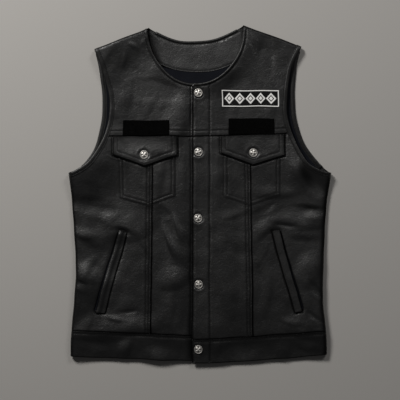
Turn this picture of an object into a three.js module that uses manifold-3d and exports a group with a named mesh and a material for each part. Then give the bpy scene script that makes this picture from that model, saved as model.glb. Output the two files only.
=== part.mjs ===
// A black leather waistcoat with a round neck and a snap front, laid flat on its back.
// Millimetres. +X is the wearer's left, +Y runs from the hem to the neck, +Z points up off the table.
// The body is a flattened tube: the back lies on the table and curls up at the sides and shoulders to
// the seams, and the two fronts lie on it and stand up a little at their folded and bound edges. Every
// panel is a wall cut from one of two grids of points, and what lies on a panel is cut from the same
// points moved out, so layers never cross.
import * as THREE from 'three';
import { mergeVertices } from 'three/addons/utils/BufferGeometryUtils.js';
import Module from 'manifold-3d';

const wasm = await Module();
wasm.setup();

// Driving sizes
const HALF_WIDTH = 256;        // underarm to underarm is 512, a 102 cm chest
const HALF_LENGTH = 330;       // neck point to hem is 660
const LEATHER = 1.4;
const CLOTH = 1.0;
const GAP = 0.3;               // between pieces that touch
const SEAM_Z = 5;              // height of the side and shoulder seams above the table
const FRONT_Z = 6.3;           // height of the fronts' outer face where they lie on the back
const ROLL = 9;                // width over which a folded side or shoulder rounds down to its seam
const ROLL_LIP = 0.6;          // height of the wall's edge at a seam
const GRID_STEP = 17.5;        // spacing of the panels' points
const CURVE_STEPS = 18;        // points along a curved cut
const LINE_STEPS = 48;         // points along a cut that runs right across
const FLATTEN = 0.02;          // points that stand out less than this are dropped from a finished solid

// Edges stand higher than the middle: rise, and how far in from the edge it has faded away
const EDGE_RISE = 4.2;
const STAND = {
  fold: { share: 1, reach: 62 },
  armhole: { share: 0.55, reach: 46 },
  neck: { share: 0.4, reach: 38 },
};

// Closure
const OVERLAP_X = -15.6;       // edge of the upper front
const UNDERLAP_X = 16;         // edge of the lower front
const LAP_FULL_X = 34;         // the upper front rides at full height up to here
const LAP_END_X = 70;          // and lies down again here
const LAP_CORNER = 7;          // rounded corner at the top of the upper front
const SNAP_X = -3;
const SNAP_Y = [197, 82, -47, -176, -303];

// Seams and edges
const YOKE_Y = 112.6;          // yoke seam at the wearer's right
const YOKE_RISE = 0.032;       // its rise across the wearer's left
const HEM = { right: -326.5, rightSlope: 0.042, leftRise: 17, leftPower: 1.4 };
const BAND_HEIGHT = { right: 51, left: 47.5 };
const BAND_EXTRA = 0.5;        // a folded waistband stands this much further out and in than one layer
const NECK = { x: -8.5, y: 325, halfWidth: 93.5, depth: 109.5 };
const NECK_POINT = { right: [-98, 324.5], left: [84.2, 330] };
const SHOULDER_TIP = { right: [-205.7, 283.1], left: [197.9, 287.6] };
const BACK_NECK = { dip: 269.6, x: -8 };     // control point of the back neck's curve
const FACING = { x: -8, y: 237.5, sag: 0.0029, right: -124, left: 108 };
const BINDING = { thickness: 1.0, neck: 5, armhole: 9 };

// Half widths of the body from the centre line, hem to underarm
const SIDE = [
  { y: -332, right: 253, left: 248 },
  { y: -270, right: 250.5, left: 246 },
  { y: -210, right: 246.5, left: 240.5 },
  { y: -150, right: 242, left: 241 },
  { y: -68, right: 246, left: 244 },
  { y: -8, right: 250.5, left: 248.5 },
  { y: 41, right: 256, left: 256 },
];

// Finished armhole edges from the underarm up to the shoulder tip
const FRONT_ARMHOLE = {
  right: [[-256, 41], [-241.6, 46.5], [-213.7, 67], [-189.2, 108], [-178.2, 150],
    [-177, 190], [-189.3, 237], [-205.7, 283.1]],
  left: [[256, 41], [230.5, 48.5], [204.4, 68], [181.2, 114], [170.5, 150],
    [169, 182], [178.2, 243], [197.9, 287.6]],
};
const BACK_ARMHOLE = {
  right: [[-256, 41], [-230, 57], [-207, 87], [-194.5, 134], [-190.5, 180], [-195, 228], [-205.7, 283.1]],
  left: [[256, 41], [232.4, 62], [205, 100], [189.5, 144], [184.9, 188], [189.5, 247], [197.9, 287.6]],
};

// The seam from each flap's point down to the waistband: x at the yoke and at the waistband
const PANEL_SEAM = { right: { top: -92.5, bottom: -95.5 }, left: { top: 97.5, bottom: 103.7 } };

// Chest pockets: the bag behind the panel and the flap over its mouth
const POCKET_RELIEF = 0.8;     // how far the bag pushes the panel out
const FLAP_THICKNESS = 1.9;
const CHEST = {
  right: {
    bag: { inner: -48, outer: -157, innerY: -5, outerY: -8, tip: [-100.4, -24] },
    flap: { inner: -43.9, outer: -169.7, innerY: 76, outerY: 76.4, tip: [-107.6, 54.6] },
    snap: [-108.8, 77], strip: [-105.5, 128.8],
  },
  left: {
    bag: { inner: 46, outer: 157, innerY: -6, outerY: -3, tip: [97.9, -22] },
    flap: { inner: 40, outer: 165, innerY: 79.5, outerY: 75, tip: [103.7, 56] },
    snap: [103.7, 80], strip: [100, 132],
  },
};
const STRIP = { width: 90, height: 30.5, thickness: 1.8 };   // hook-and-loop strips
const PATCH = { x: 98.2, y: 186, width: 112, height: 33, thickness: 1.2 };

// Hand pockets: the welt's two long edges, the slot along its outer edge and the bag behind it
const WELT_THICKNESS = 2.4;
const SLOT = { under: 1.2, beyond: 2, short: 4 };
const WELT = {
  right: {
    outerTop: [-158.1, -69.4], innerTop: [-141.6, -74],
    outerBottom: [-204, -230], innerBottom: [-185, -233],
  },
  left: {
    outerTop: [154.8, -69], innerTop: [138.8, -72.7],
    outerBottom: [199, -228], innerBottom: [183.7, -231],
  },
};
const HAND_BAG = { past: 12, inwardTop: 40, inwardBottom: 62, above: 14, below: 20 };

// Snap caps: a domed cap in a raised rim
const CAP = { foot: 7.7, radius: 8.2, rim: 1.6, rimHeight: 2.1, dish: 1.6, dome: 2.6, sides: 18 };

// The largest folds of the fronts: centre, heading, half length and half width, and rise (a dip is negative)
const FOLDS = [
  { x: -224, y: -108, turn: -19, length: 34, width: 15, rise: -2.0 },
  { x: -222, y: -172, turn: -33, length: 34, width: 15, rise: -2.4 },
  { x: -216, y: -198, turn: -20, length: 32, width: 18, rise: 1.8 },
  { x: -205, y: -40, turn: -75, length: 60, width: 26, rise: 1.6 },
  { x: -146, y: -52, turn: 8, length: 42, width: 17, rise: 2.2 },
  { x: -120, y: -256, turn: 4, length: 70, width: 20, rise: 2.0 },
  { x: -52, y: -110, turn: 84, length: 120, width: 24, rise: 2.0 },
  { x: -147, y: 252, turn: 80, length: 40, width: 19, rise: 1.8 },
  { x: -62, y: 160, turn: 68, length: 60, width: 24, rise: 2.2 },
  { x: 216, y: -27, turn: -4, length: 44, width: 15, rise: -2.0 },
  { x: 196, y: -52, turn: -7, length: 66, width: 18, rise: 2.4 },
  { x: 140, y: -42, turn: 22, length: 44, width: 18, rise: 2.0 },
  { x: 224, y: 8, turn: 60, length: 44, width: 20, rise: -1.6 },
  { x: 206, y: -256, turn: -28, length: 42, width: 19, rise: 2.0 },
  { x: 66, y: -150, turn: 90, length: 110, width: 26, rise: 1.6 },
  { x: 138, y: 240, turn: 100, length: 46, width: 22, rise: 1.6 },
];

const LEATHER_BLACK = new THREE.MeshStandardMaterial({ color: 0x1d1d1e, roughness: 0.48, metalness: 0 });
const LINING_NAVY = new THREE.MeshStandardMaterial({ color: 0x151922, roughness: 0.75, metalness: 0 });
const LOOP_BLACK = new THREE.MeshStandardMaterial({ color: 0x070707, roughness: 0.95, metalness: 0 });
const PATCH_WHITE = new THREE.MeshStandardMaterial({ color: 0xcfcdc8, roughness: 0.8, metalness: 0 });
const SNAP_METAL = new THREE.MeshStandardMaterial({ color: 0xa8a298, roughness: 0.35, metalness: 1 });

const SIDES = ['right', 'left'];
const signOf = (side) => (side === 'right' ? -1 : 1);
const evenly = (from, to, steps) =>
  Array.from({ length: steps + 1 }, (_, i) => from + ((to - from) * i) / steps);
const mix = (a, b, t) => a + (b - a) * t;

// Value of a table's column at y, on a smooth curve through its rows
function along(rows, column, y) {
  const last = rows.length - 2;
  let i = rows.findIndex((row, k) => k <= last && y <= rows[k + 1].y);
  if (i < 0) i = last;
  const [a, b] = [rows[i], rows[i + 1]];
  const slope = (k) => {
    const [p, q] = [rows[Math.max(k - 1, 0)], rows[Math.min(k + 1, rows.length - 1)]];
    return (q[column] - p[column]) / (q.y - p.y);
  };
  const span = b.y - a.y;
  const t = THREE.MathUtils.clamp((y - a.y) / span, 0, 1);
  const [t2, t3] = [t * t, t * t * t];
  return (2 * t3 - 3 * t2 + 1) * a[column] + (t3 - 2 * t2 + t) * span * slope(i)
    + (3 * t2 - 2 * t3) * b[column] + (t3 - t2) * span * slope(i + 1);
}

// Points along a smooth curve through the given ones
function curve(points, steps = CURVE_STEPS) {
  const spline = new THREE.SplineCurve(points.map(([x, y]) => new THREE.Vector2(x, y)));
  return spline.getSpacedPoints(steps).map((p) => [p.x, p.y]);
}

// A line of points moved sideways; positive is to the left of its direction
function beside(points, distance) {
  return points.map(([x, y], i) => {
    const [ax, ay] = points[Math.max(i - 1, 0)];
    const [bx, by] = points[Math.min(i + 1, points.length - 1)];
    const length = Math.hypot(bx - ax, by - ay);
    return [x - ((by - ay) / length) * distance, y + ((bx - ax) / length) * distance];
  });
}

// Plan lines
const sideX = (side, y) => signOf(side) * along(SIDE, side, Math.min(y, SIDE.at(-1).y));
const yokeY = (x) => YOKE_Y + Math.max(x, 0) * YOKE_RISE;
// The upper front hangs lower at the closure; the back's hem is hidden behind both fronts'
const hem = {
  right: (x) => HEM.right + HEM.rightSlope * Math.abs(x - OVERLAP_X),
  left: (x) => -HALF_LENGTH + HEM.leftRise * (Math.max(x, 0) / 250) ** HEM.leftPower,
  back: (x) => Math.max(hem.right(x), hem.left(x)),
};
const bandHeight = (x) => mix(BAND_HEIGHT.right, BAND_HEIGHT.left, THREE.MathUtils.smoothstep(x, -60, 60));
const bandTop = {
  right: (x) => hem.right(x) + BAND_HEIGHT.right,
  left: (x) => hem.left(x) + BAND_HEIGHT.left,
  back: (x) => hem.back(x) + bandHeight(x),
};
const seamX = (side, y) => mix(PANEL_SEAM[side].bottom, PANEL_SEAM[side].top, (y + 270) / 380);
const facingY = (x) => FACING.y + FACING.sag * (x - FACING.x) ** 2;

// The line through two points, and the shoulders' fold with the gap of the neck bridged between them
const through = ([ax, ay], [bx, by]) => (x) => ay + ((by - ay) * (x - ax)) / (bx - ax);
const rightShoulder = through(SHOULDER_TIP.right, NECK_POINT.right);
const leftShoulder = through(NECK_POINT.left, SHOULDER_TIP.left);
const acrossNeck = through(NECK_POINT.right, NECK_POINT.left);
function shoulderY(x) {
  if (x < NECK_POINT.right[0]) return rightShoulder(x);
  return x > NECK_POINT.left[0] ? leftShoulder(x) : acrossNeck(x);
}

// Finished edges as lines of points, with the side of each on which the cloth lies
const armholeOf = (edges) => Object.fromEntries(
  SIDES.map((side) => [side, { line: curve(edges[side]), cloth: signOf(side) }]));
const frontArmhole = armholeOf(FRONT_ARMHOLE);
const backArmhole = armholeOf(BACK_ARMHOLE);
const frontNeck = {
  line: evenly(Math.PI, 2 * Math.PI, 2 * CURVE_STEPS).map((a) => [
    NECK.x + NECK.halfWidth * Math.cos(a), NECK.y + NECK.depth * Math.sin(a)]),
  cloth: -1,
};
const backNeck = {
  line: new THREE.QuadraticBezierCurve(
    new THREE.Vector2(...NECK_POINT.right), new THREE.Vector2(BACK_NECK.x, BACK_NECK.dip),
    new THREE.Vector2(...NECK_POINT.left)).getSpacedPoints(CURVE_STEPS).map((p) => [p.x, p.y]),
  cloth: -1,
};
// The band of cloth between two distances inside a finished edge, or where a test of the edge's points holds
function edgeBand({ line, cloth }, from, to, test = () => true) {
  const used = (points) => points.filter((_, i) => test(...line[i]));
  return column([...used(beside(line, cloth * from)), ...used(beside(line, cloth * to)).reverse()]);
}

// Heights
const bump = (q) => (q < 1 ? (1 - q) ** 2 : 0);
function foldRise(x, y) {
  return FOLDS.reduce((sum, fold) => {
    const turn = THREE.MathUtils.degToRad(fold.turn);
    const [dx, dy] = [x - fold.x, y - fold.y];
    const u = (dx * Math.cos(turn) + dy * Math.sin(turn)) / fold.length;
    const v = (dy * Math.cos(turn) - dx * Math.sin(turn)) / fold.width;
    return sum + fold.rise * bump(u * u + v * v);
  }, 0);
}

// Share of EDGE_RISE at a point, from its distances to the folded and bound edges
const nearest = ({ line }, x, y) => Math.min(...line.slice(1).map(([bx, by], i) => {
  const [ax, ay] = line[i];
  const share = ((x - ax) * (bx - ax) + (y - ay) * (by - ay)) / ((bx - ax) ** 2 + (by - ay) ** 2);
  const t = THREE.MathUtils.clamp(share, 0, 1);
  return Math.hypot(mix(ax, bx, t) - x, mix(ay, by, t) - y);
}));
const fading = ({ share, reach }, distance) => share * (1 - THREE.MathUtils.smoothstep(distance, 0, reach));
function standShare(x, y) {
  const sides = SIDES.map((side) => {
    const past = Math.max(y - SIDE.at(-1).y, 0);
    return fading(STAND.fold, Math.hypot(Math.abs(sideX(side, y) - x), past));
  });
  const armholes = SIDES.map((side) => fading(STAND.armhole, nearest(frontArmhole[side], x, y)));
  const shoulder = fading(STAND.fold, Math.max(shoulderY(x) - y, 0));
  const neck = fading(STAND.neck, nearest(frontNeck, x, y));
  return 1 - [...sides, ...armholes, shoulder, neck].reduce((rest, share) => rest * (1 - share), 1);
}

// A front's outer face away from the rounding at its seams, worked out once for each point of a grid
const heights = new Map();
function crown(node) {
  if (!heights.has(node)) {
    heights.set(node, FRONT_Z + EDGE_RISE * standShare(node.x, node.y) + foldRise(node.x, node.y));
  }
  return heights.get(node);
}
// Share of full height at a distance from a folded edge, as a quarter ellipse
const rounded = (distance, width) => Math.sqrt(1 - (1 - THREE.MathUtils.clamp(distance / width, 0, 1)) ** 2);
const innerShare = (d) => rounded(d - LEATHER, ROLL - LEATHER);
const upSeam = SEAM_Z + GAP / 2;
const downSeam = SEAM_Z - GAP / 2;
const frontTop = (node) => Math.max(mix(upSeam, crown(node), rounded(node.d, ROLL)), upSeam + ROLL_LIP);
const frontUnder = (node) => mix(upSeam, crown(node) - LEATHER, innerShare(node.d));
const backTop = ({ d }) => mix(downSeam, LEATHER, innerShare(d));
const backUnder = ({ d }) => Math.min(mix(downSeam, 0, rounded(d, ROLL)), downSeam - ROLL_LIP);
// The waistband is a folded strip, thicker on its inner face away from the seams
const frontBandUnder = (node) => frontUnder(node) - BAND_EXTRA * innerShare(node.d);
const backBandTop = (node) => backTop(node) + 2 * BAND_EXTRA * innerShare(node.d);
// How far the upper front climbs over the lower one, with its thicker waistband and bound neck
const lapRise = ({ x, y }) => {
  const band = 1 - THREE.MathUtils.smoothstep(y - bandTop.left(x), 8, 44);
  const bound = THREE.MathUtils.smoothstep(y, 180, 206);
  const lift = LEATHER + GAP + 2 * BAND_EXTRA * band + (BINDING.thickness + GAP) * bound;
  return lift * (1 - THREE.MathUtils.smoothstep(x, LAP_FULL_X, LAP_END_X));
};
// A height function moved up; the wearer's left front also climbs over the right one
const climb = { right: () => 0, left: lapRise };
const moved = (height, rise, side) => (node) => height(node) + rise + climb[side](node);

// Grids of plan points, each with its distance d from the folded edge
const EDGE_STEPS = [0, LEATHER, 3.6, 6, ROLL];
const PAST = 8;                // how far a grid runs on past the pieces cut from it

// The fronts carry folds, so their grids are filled in; the back is flat between its edges
function bodyGrid(step, filled) {
  const columns = filled ? Math.round((2 * (HALF_WIDTH - ROLL)) / step) : 1;
  const [low, high] = [-HALF_LENGTH - PAST, YOKE_Y + 2 * PAST];
  return evenly(low, high, Math.round((high - low) / step)).map((y) => {
    const [a, b] = [sideX('right', y), sideX('left', y)];
    return [
      ...EDGE_STEPS.map((d) => ({ x: a + d, y, d })),
      ...evenly(a + ROLL, b - ROLL, columns).slice(1, -1).map((x) => ({ x, y, d: ROLL })),
      ...EDGE_STEPS.map((d) => ({ x: b - d, y, d })).reverse(),
    ];
  });
}

function yokeGrid(step, filled) {
  const [tipR, tipL] = [SHOULDER_TIP.right[0] - PAST, SHOULDER_TIP.left[0] + PAST];
  const [neckR, neckL] = [NECK_POINT.right[0], NECK_POINT.left[0]];
  const steps = (a, b) => (filled ? Math.round((b - a) / step) : 1);
  const columns = [
    ...evenly(tipR, neckR, steps(tipR, neckR)).slice(0, -1),
    ...evenly(neckR, neckL, steps(neckR, neckL)),
    ...evenly(neckL, tipL, steps(neckL, tipL)).slice(1),
  ];
  const low = YOKE_Y - PAST;
  const rows = filled ? Math.round((NECK_POINT.left[1] - low) / step) : 1;
  return columns.map((x) => {
    const top = shoulderY(x);
    return [
      ...EDGE_STEPS.map((d) => ({ x, y: top - d, d })),
      ...evenly(top - ROLL, low, rows).slice(1).map((y) => ({ x, y, d: ROLL })),
    ];
  });
}

function solidFrom(geometry) {
  for (const name of ['normal', 'uv']) geometry.deleteAttribute(name);
  const merged = mergeVertices(geometry, 1e-4);
  return new wasm.Manifold(new wasm.Mesh({
    numProp: 3,
    vertProperties: new Float32Array(merged.attributes.position.array),
    triVerts: new Uint32Array(merged.index.array),
  }));
}

// The closed wall between two height functions over a grid
function wall(grid, top, under) {
  const [rows, columns] = [grid.length, grid[0].length];
  const at = (layer, i, j) => (layer * rows + i) * columns + j;
  const positions = [top, under].flatMap(
    (height) => grid.flat().flatMap((node) => [node.x, node.y, height(node)]));
  const faces = [];
  const quad = (a, b, c, d) => faces.push(a, b, c, a, c, d);
  for (let i = 0; i + 1 < rows; i += 1) {
    for (let j = 0; j + 1 < columns; j += 1) {
      quad(at(0, i, j), at(0, i, j + 1), at(0, i + 1, j + 1), at(0, i + 1, j));
      quad(at(1, i, j), at(1, i + 1, j), at(1, i + 1, j + 1), at(1, i, j + 1));
    }
  }
  for (let i = 0; i + 1 < rows; i += 1) {
    quad(at(0, i, 0), at(0, i + 1, 0), at(1, i + 1, 0), at(1, i, 0));
    const end = columns - 1;
    quad(at(0, i + 1, end), at(0, i, end), at(1, i, end), at(1, i + 1, end));
  }
  for (let j = 0; j + 1 < columns; j += 1) {
    quad(at(0, 0, j + 1), at(0, 0, j), at(1, 0, j), at(1, 0, j + 1));
    const end = rows - 1;
    quad(at(0, end, j), at(0, end, j + 1), at(1, end, j + 1), at(1, end, j));
  }
  const geometry = new THREE.BufferGeometry();
  geometry.setAttribute('position', new THREE.Float32BufferAttribute(positions, 3));
  geometry.setIndex(faces);
  return solidFrom(geometry);
}

// A column over a plan outline, from low to high
function column(outline, low = -10, high = 60) {
  const shape = new THREE.Shape(outline.map(([x, y]) => new THREE.Vector2(x, y)));
  const geometry = new THREE.ExtrudeGeometry(shape, { depth: high - low, bevelEnabled: false, steps: 1 });
  geometry.translate(0, 0, low);
  return solidFrom(geometry);
}

// Plan regions
const FAR = 400;
const lineOf = (height, from, to, shift = 0) =>
  evenly(from, to, LINE_STEPS).map((x) => [x, height(x) + shift]);
const above = (height, shift = 0) =>
  column([...lineOf(height, -FAR, FAR, shift), [FAR, FAR], [-FAR, FAR]]);
const below = (height, shift = 0) =>
  column([...lineOf(height, -FAR, FAR, shift), [FAR, -FAR], [-FAR, -FAR]]);
const leftOf = (x) => column([[-FAR, -FAR], [x, -FAR], [x, FAR], [-FAR, FAR]]);
const rightOf = (x) => column([[x, -FAR], [FAR, -FAR], [FAR, FAR], [x, FAR]]);

// Everything outside a cut edge, which lies some distance inside the finished one
function armholeCut({ line, cloth }, distance) {
  const edge = beside(line, cloth * distance);
  const [first, last] = [edge[0], edge.at(-1)];
  return column([[cloth * FAR, first[1]], ...edge, [last[0], FAR], [cloth * FAR, FAR]]);
}
function neckCut({ line, cloth }, distance) {
  const edge = beside(line, cloth * distance);
  const [first, last] = [edge[0], edge.at(-1)];
  return column([[first[0] - 1, FAR], ...edge, [last[0] + 1, FAR]]);
}

const inset = GAP + BINDING.thickness;
const halfGap = GAP / 2;
const body = bodyGrid(GRID_STEP, true);
const yoke = yokeGrid(GRID_STEP, true);
const backBody = bodyGrid(2 * GRID_STEP, false);
const backYoke = yokeGrid(2 * GRID_STEP, false);
const frontHalf = { right: leftOf(UNDERLAP_X), left: rightOf(OVERLAP_X) };
const sideOfSeam = (side, outer) => {
  const s = signOf(side);
  const edge = evenly(-FAR, FAR, 2).map((y) => [seamX(side, y) + (outer ? s : -s) * halfGap, y]);
  const reach = (outer ? s : -s) * FAR;
  return column([...edge, [reach, FAR], [reach, -FAR]]);
};
const cut = (solid, ...tools) => tools.reduce((made, tool) => made.subtract(tool), solid);
const keep = (solid, ...tools) => tools.reduce((made, tool) => made.intersect(tool), solid);

const frontWall = (grid, side) => wall(grid, moved(frontTop, 0, side), moved(frontUnder, 0, side));
// A layer on a front's outer face, from low to high above it
const layerOn = (grid, side, low, high) =>
  wall(grid, moved(frontTop, high, side), moved(frontTop, low, side));

// Outline of a chest pocket's bag or flap, from above the yoke seam down to its point
function pointed({ inner, outer, innerY, outerY, tip }) {
  return [[inner, yokeY(inner) + PAST], [inner, innerY], tip, [outer, outerY], [outer, yokeY(outer) + PAST]];
}

function slotOutline(side) {
  const { outerTop, outerBottom } = WELT[side];
  const s = signOf(side);
  const { under, beyond, short } = SLOT;
  const [high, low] = [outerTop[1] - short, outerBottom[1] + short];
  return [[outerTop[0] - s * under, high], [outerTop[0] + s * beyond, high],
    [outerBottom[0] + s * beyond, low], [outerBottom[0] - s * under, low]];
}

// A front below its yoke, with the pocket bag's shape standing out in it
const lowerFront = (side) => {
  const panel = frontWall(body, side);
  const relief = keep(layerOn(body, side, -LEATHER / 2, POCKET_RELIEF), column(pointed(CHEST[side].bag)));
  return cut(
    keep(panel.add(relief), frontHalf[side], above(bandTop[side], halfGap), below(yokeY, -halfGap)),
    armholeCut(frontArmhole[side], inset));
};

const lowerFronts = Object.fromEntries(SIDES.map((side) => [side, lowerFront(side)]));
const sidePanel = (side) => cut(keep(lowerFronts[side], sideOfSeam(side, true)), column(slotOutline(side)));
const centrePanel = (side) => keep(lowerFronts[side], sideOfSeam(side, false));

// The square corner that the upper front's rounded one leaves out
function lapCorner() {
  const [, y] = frontNeck.line.findLast(([x]) => x <= OVERLAP_X);
  const [x, r] = [OVERLAP_X, LAP_CORNER];
  const arc = evenly(0, Math.PI / 2, 5).map((a) => [x + r * (1 - Math.cos(a)), y - r * (1 - Math.sin(a))]);
  return column([[x - PAST, y + PAST], [x - PAST, y - r], ...arc, [x + r, y + PAST]]);
}

function yokePanel(side) {
  const panel = cut(
    keep(frontWall(yoke, side), frontHalf[side], above(yokeY, halfGap)),
    neckCut(frontNeck, inset), armholeCut(frontArmhole[side], inset));
  return side === 'left' ? cut(panel, lapCorner()) : panel;
}

const frontBand = (side) => keep(
  wall(body, moved(frontTop, BAND_EXTRA, side), moved(frontBandUnder, 0, side)),
  frontHalf[side], below(bandTop[side], -halfGap), above(hem[side]));

// The back is one piece, put together from both grids where they are flat
function backPanel() {
  const lower = keep(
    wall(backBody, backTop, backUnder), above(bandTop.back, halfGap), below(() => YOKE_Y + PAST));
  const upper = keep(wall(backYoke, backTop, backUnder), above(() => YOKE_Y));
  const armholes = SIDES.map((side) => armholeCut(backArmhole[side], inset));
  return cut(lower.add(upper), ...armholes, neckCut(backNeck, inset));
}

const backBand = () => keep(
  wall(backBody, backBandTop, backUnder), below(bandTop.back, -halfGap), above(hem.back));

// The same edge run on past both its ends
function longer({ line, cloth }) {
  const past = ([ax, ay], [bx, by]) => [2 * bx - ax, 2 * by - ay];
  return { line: [past(line[1], line[0]), ...line, past(line.at(-2), line.at(-1))], cloth };
}

// A binding is a strip over the edge and a lip that turns down past it, and ends where the seams round
const shortened = (grid) => grid.map((line) => line.filter(({ d }) => d >= EDGE_STEPS[2]));
const bindingRoom = (edge, width) => edgeBand(longer(edge), BINDING.thickness, width + PAST);
function frontBinding(edge, width, side, grid) {
  const outer = moved(frontTop, GAP + BINDING.thickness, side);
  const whole = wall(shortened(grid), outer, moved(frontUnder, 0, side));
  const room = wall(grid, moved(frontTop, GAP, side), moved(frontUnder, -GAP, side));
  return cut(keep(whole, edgeBand(edge, 0, width)), keep(room, bindingRoom(edge, width)));
}
const frontArmholeBinding = (side, grid) => frontBinding(frontArmhole[side], BINDING.armhole, side, grid);

function neckBinding(side) {
  const made = keep(frontBinding(frontNeck, BINDING.neck, side, yoke), frontHalf[side]);
  return side === 'left' ? cut(made, lapCorner()) : made;
}

// On the back it lies on the flat middle, and its lip reaches the table
const everywhere = [[-FAR, -FAR], [FAR, -FAR], [FAR, FAR], [-FAR, FAR]];
const onFlatBack = (x, y) => y > SIDE.at(-1).y + 2 * ROLL && y < shoulderY(x) - ROLL - 1;
function backBinding(edge, width) {
  const whole = column(everywhere, 0, LEATHER + GAP + BINDING.thickness);
  const room = column(everywhere, -GAP, LEATHER + GAP);
  return cut(keep(whole, edgeBand(edge, 0, width, onFlatBack)), keep(room, bindingRoom(edge, width)));
}

// Inner layers on the back: the neck facing, and the lining below and around it
const LINING_INSET = ROLL + 3;
const LINING_ROWS = 10;
function insideOutline() {
  const rows = evenly(-262, SIDE.at(-1).y, LINING_ROWS);
  const edgeOf = (side) => rows.map((y) => [sideX(side, y) - signOf(side) * LINING_INSET, y]);
  const [right, left] = [edgeOf('right').reverse(), edgeOf('left')];
  const bottom = lineOf(bandTop.back, right.at(-1)[0], left[0][0], 1);
  const top = [SHOULDER_TIP.left[0], NECK_POINT.left[0], NECK_POINT.right[0], SHOULDER_TIP.right[0]]
    .map((x) => [x, shoulderY(x) - LINING_INSET]);
  return [...right, ...bottom, ...left, ...top];
}
function linedBack() {
  const layer = column(insideOutline(), LEATHER + GAP, LEATHER + GAP + CLOTH);
  const armholes = SIDES.map((side) => armholeCut(backArmhole[side], BINDING.armhole + GAP));
  return cut(layer, ...armholes, neckCut(backNeck, BINDING.neck + GAP));
}
function facingRegion(grow) {
  const [right, left] = [FACING.right - grow, FACING.left + grow];
  return column([...lineOf(facingY, right, left, -grow), [left, FAR], [right, FAR]]);
}

function welt(side) {
  const { outerTop, innerTop, innerBottom, outerBottom } = WELT[side];
  const strip = column([outerTop, innerTop, innerBottom, outerBottom]);
  return keep(layerOn(body, side, GAP, GAP + WELT_THICKNESS), strip);
}

// A layer of pocket cloth behind a front
const behind = (side) => wall(
  body, moved(frontUnder, -GAP, side), moved(frontUnder, -GAP - CLOTH, side));

function handPocketBag(side) {
  const s = signOf(side);
  const { outerTop, outerBottom } = WELT[side];
  const { past, inwardTop, inwardBottom } = HAND_BAG;
  const [high, low] = [outerTop[1] + HAND_BAG.above, outerBottom[1] - HAND_BAG.below];
  return keep(behind(side), column([
    [outerTop[0] + s * past, high], [outerTop[0] - s * inwardTop, high],
    [outerBottom[0] - s * inwardBottom, low], [outerBottom[0] + s * past, low]]));
}

const chestPocketBag = (side) => keep(
  behind(side), column(pointed(CHEST[side].bag)), below(yokeY, -halfGap));

const flapBase = POCKET_RELIEF + GAP;
const chestFlap = (side) => keep(
  layerOn(body, side, flapBase, flapBase + FLAP_THICKNESS),
  column(pointed(CHEST[side].flap)), below(yokeY, -halfGap));

function rectangle(x, y, width, height) {
  const [a, b] = [width / 2, height / 2];
  return column([[x - a, y - b], [x + a, y - b], [x + a, y + b], [x - a, y + b]]);
}
const loopStrip = (side) => keep(
  layerOn(yoke, side, GAP, GAP + STRIP.thickness),
  rectangle(...CHEST[side].strip, STRIP.width, STRIP.height), above(yokeY, halfGap));
const namePatch = () => keep(
  layerOn(yoke, 'left', GAP, GAP + PATCH.thickness), rectangle(PATCH.x, PATCH.y, PATCH.width, PATCH.height));

// A snap's cap, turned about Z, with its flat foot at z = 0
function capGeometry() {
  const { foot, radius, rim, rimHeight, dish, dome, sides } = CAP;
  const profile = [
    [0, 0], [foot, 0], [radius, rimHeight / 2], [radius - rim / 3, rimHeight], [radius - rim, dish],
    [(radius - rim) / 2, (dish + 2 * dome) / 3], [0, dome]];
  return new THREE.LatheGeometry(profile.map(([r, z]) => new THREE.Vector2(r, z)), sides)
    .rotateX(Math.PI / 2);
}

const vest = new THREE.Group();

function geometryOf(solid) {
  const mesh = solid.getMesh();
  const geometry = new THREE.BufferGeometry();
  geometry.setAttribute('position', new THREE.BufferAttribute(new Float32Array(mesh.vertProperties), 3));
  geometry.setIndex(new THREE.BufferAttribute(new Uint32Array(mesh.triVerts), 1));
  geometry.computeVertexNormals();
  return geometry;
}

// The largest body of a cut, without the slivers that a cut may leave
const largest = (solid) => solid.decompose().reduce((a, b) => (b.volume() > a.volume() ? b : a));

function add(name, solid, material) {
  const mesh = new THREE.Mesh(geometryOf(largest(solid).simplify(FLATTEN)), material);
  mesh.name = name;
  vest.add(mesh);
  return mesh;
}

function addSnap(name, x, y, height) {
  const cap = solidFrom(capGeometry().toNonIndexed());
  add(name, cap, SNAP_METAL).position.set(x, y, height + GAP);
}

// Highest point of a front's outer face under a cap, read from the same grid as the panel
function restHeight(grid, side, x, y, rise) {
  const spot = rectangle(x, y, 2 * CAP.radius, 2 * CAP.radius);
  return keep(layerOn(grid, side, rise - 1, rise), spot).boundingBox().max[2];
}

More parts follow.
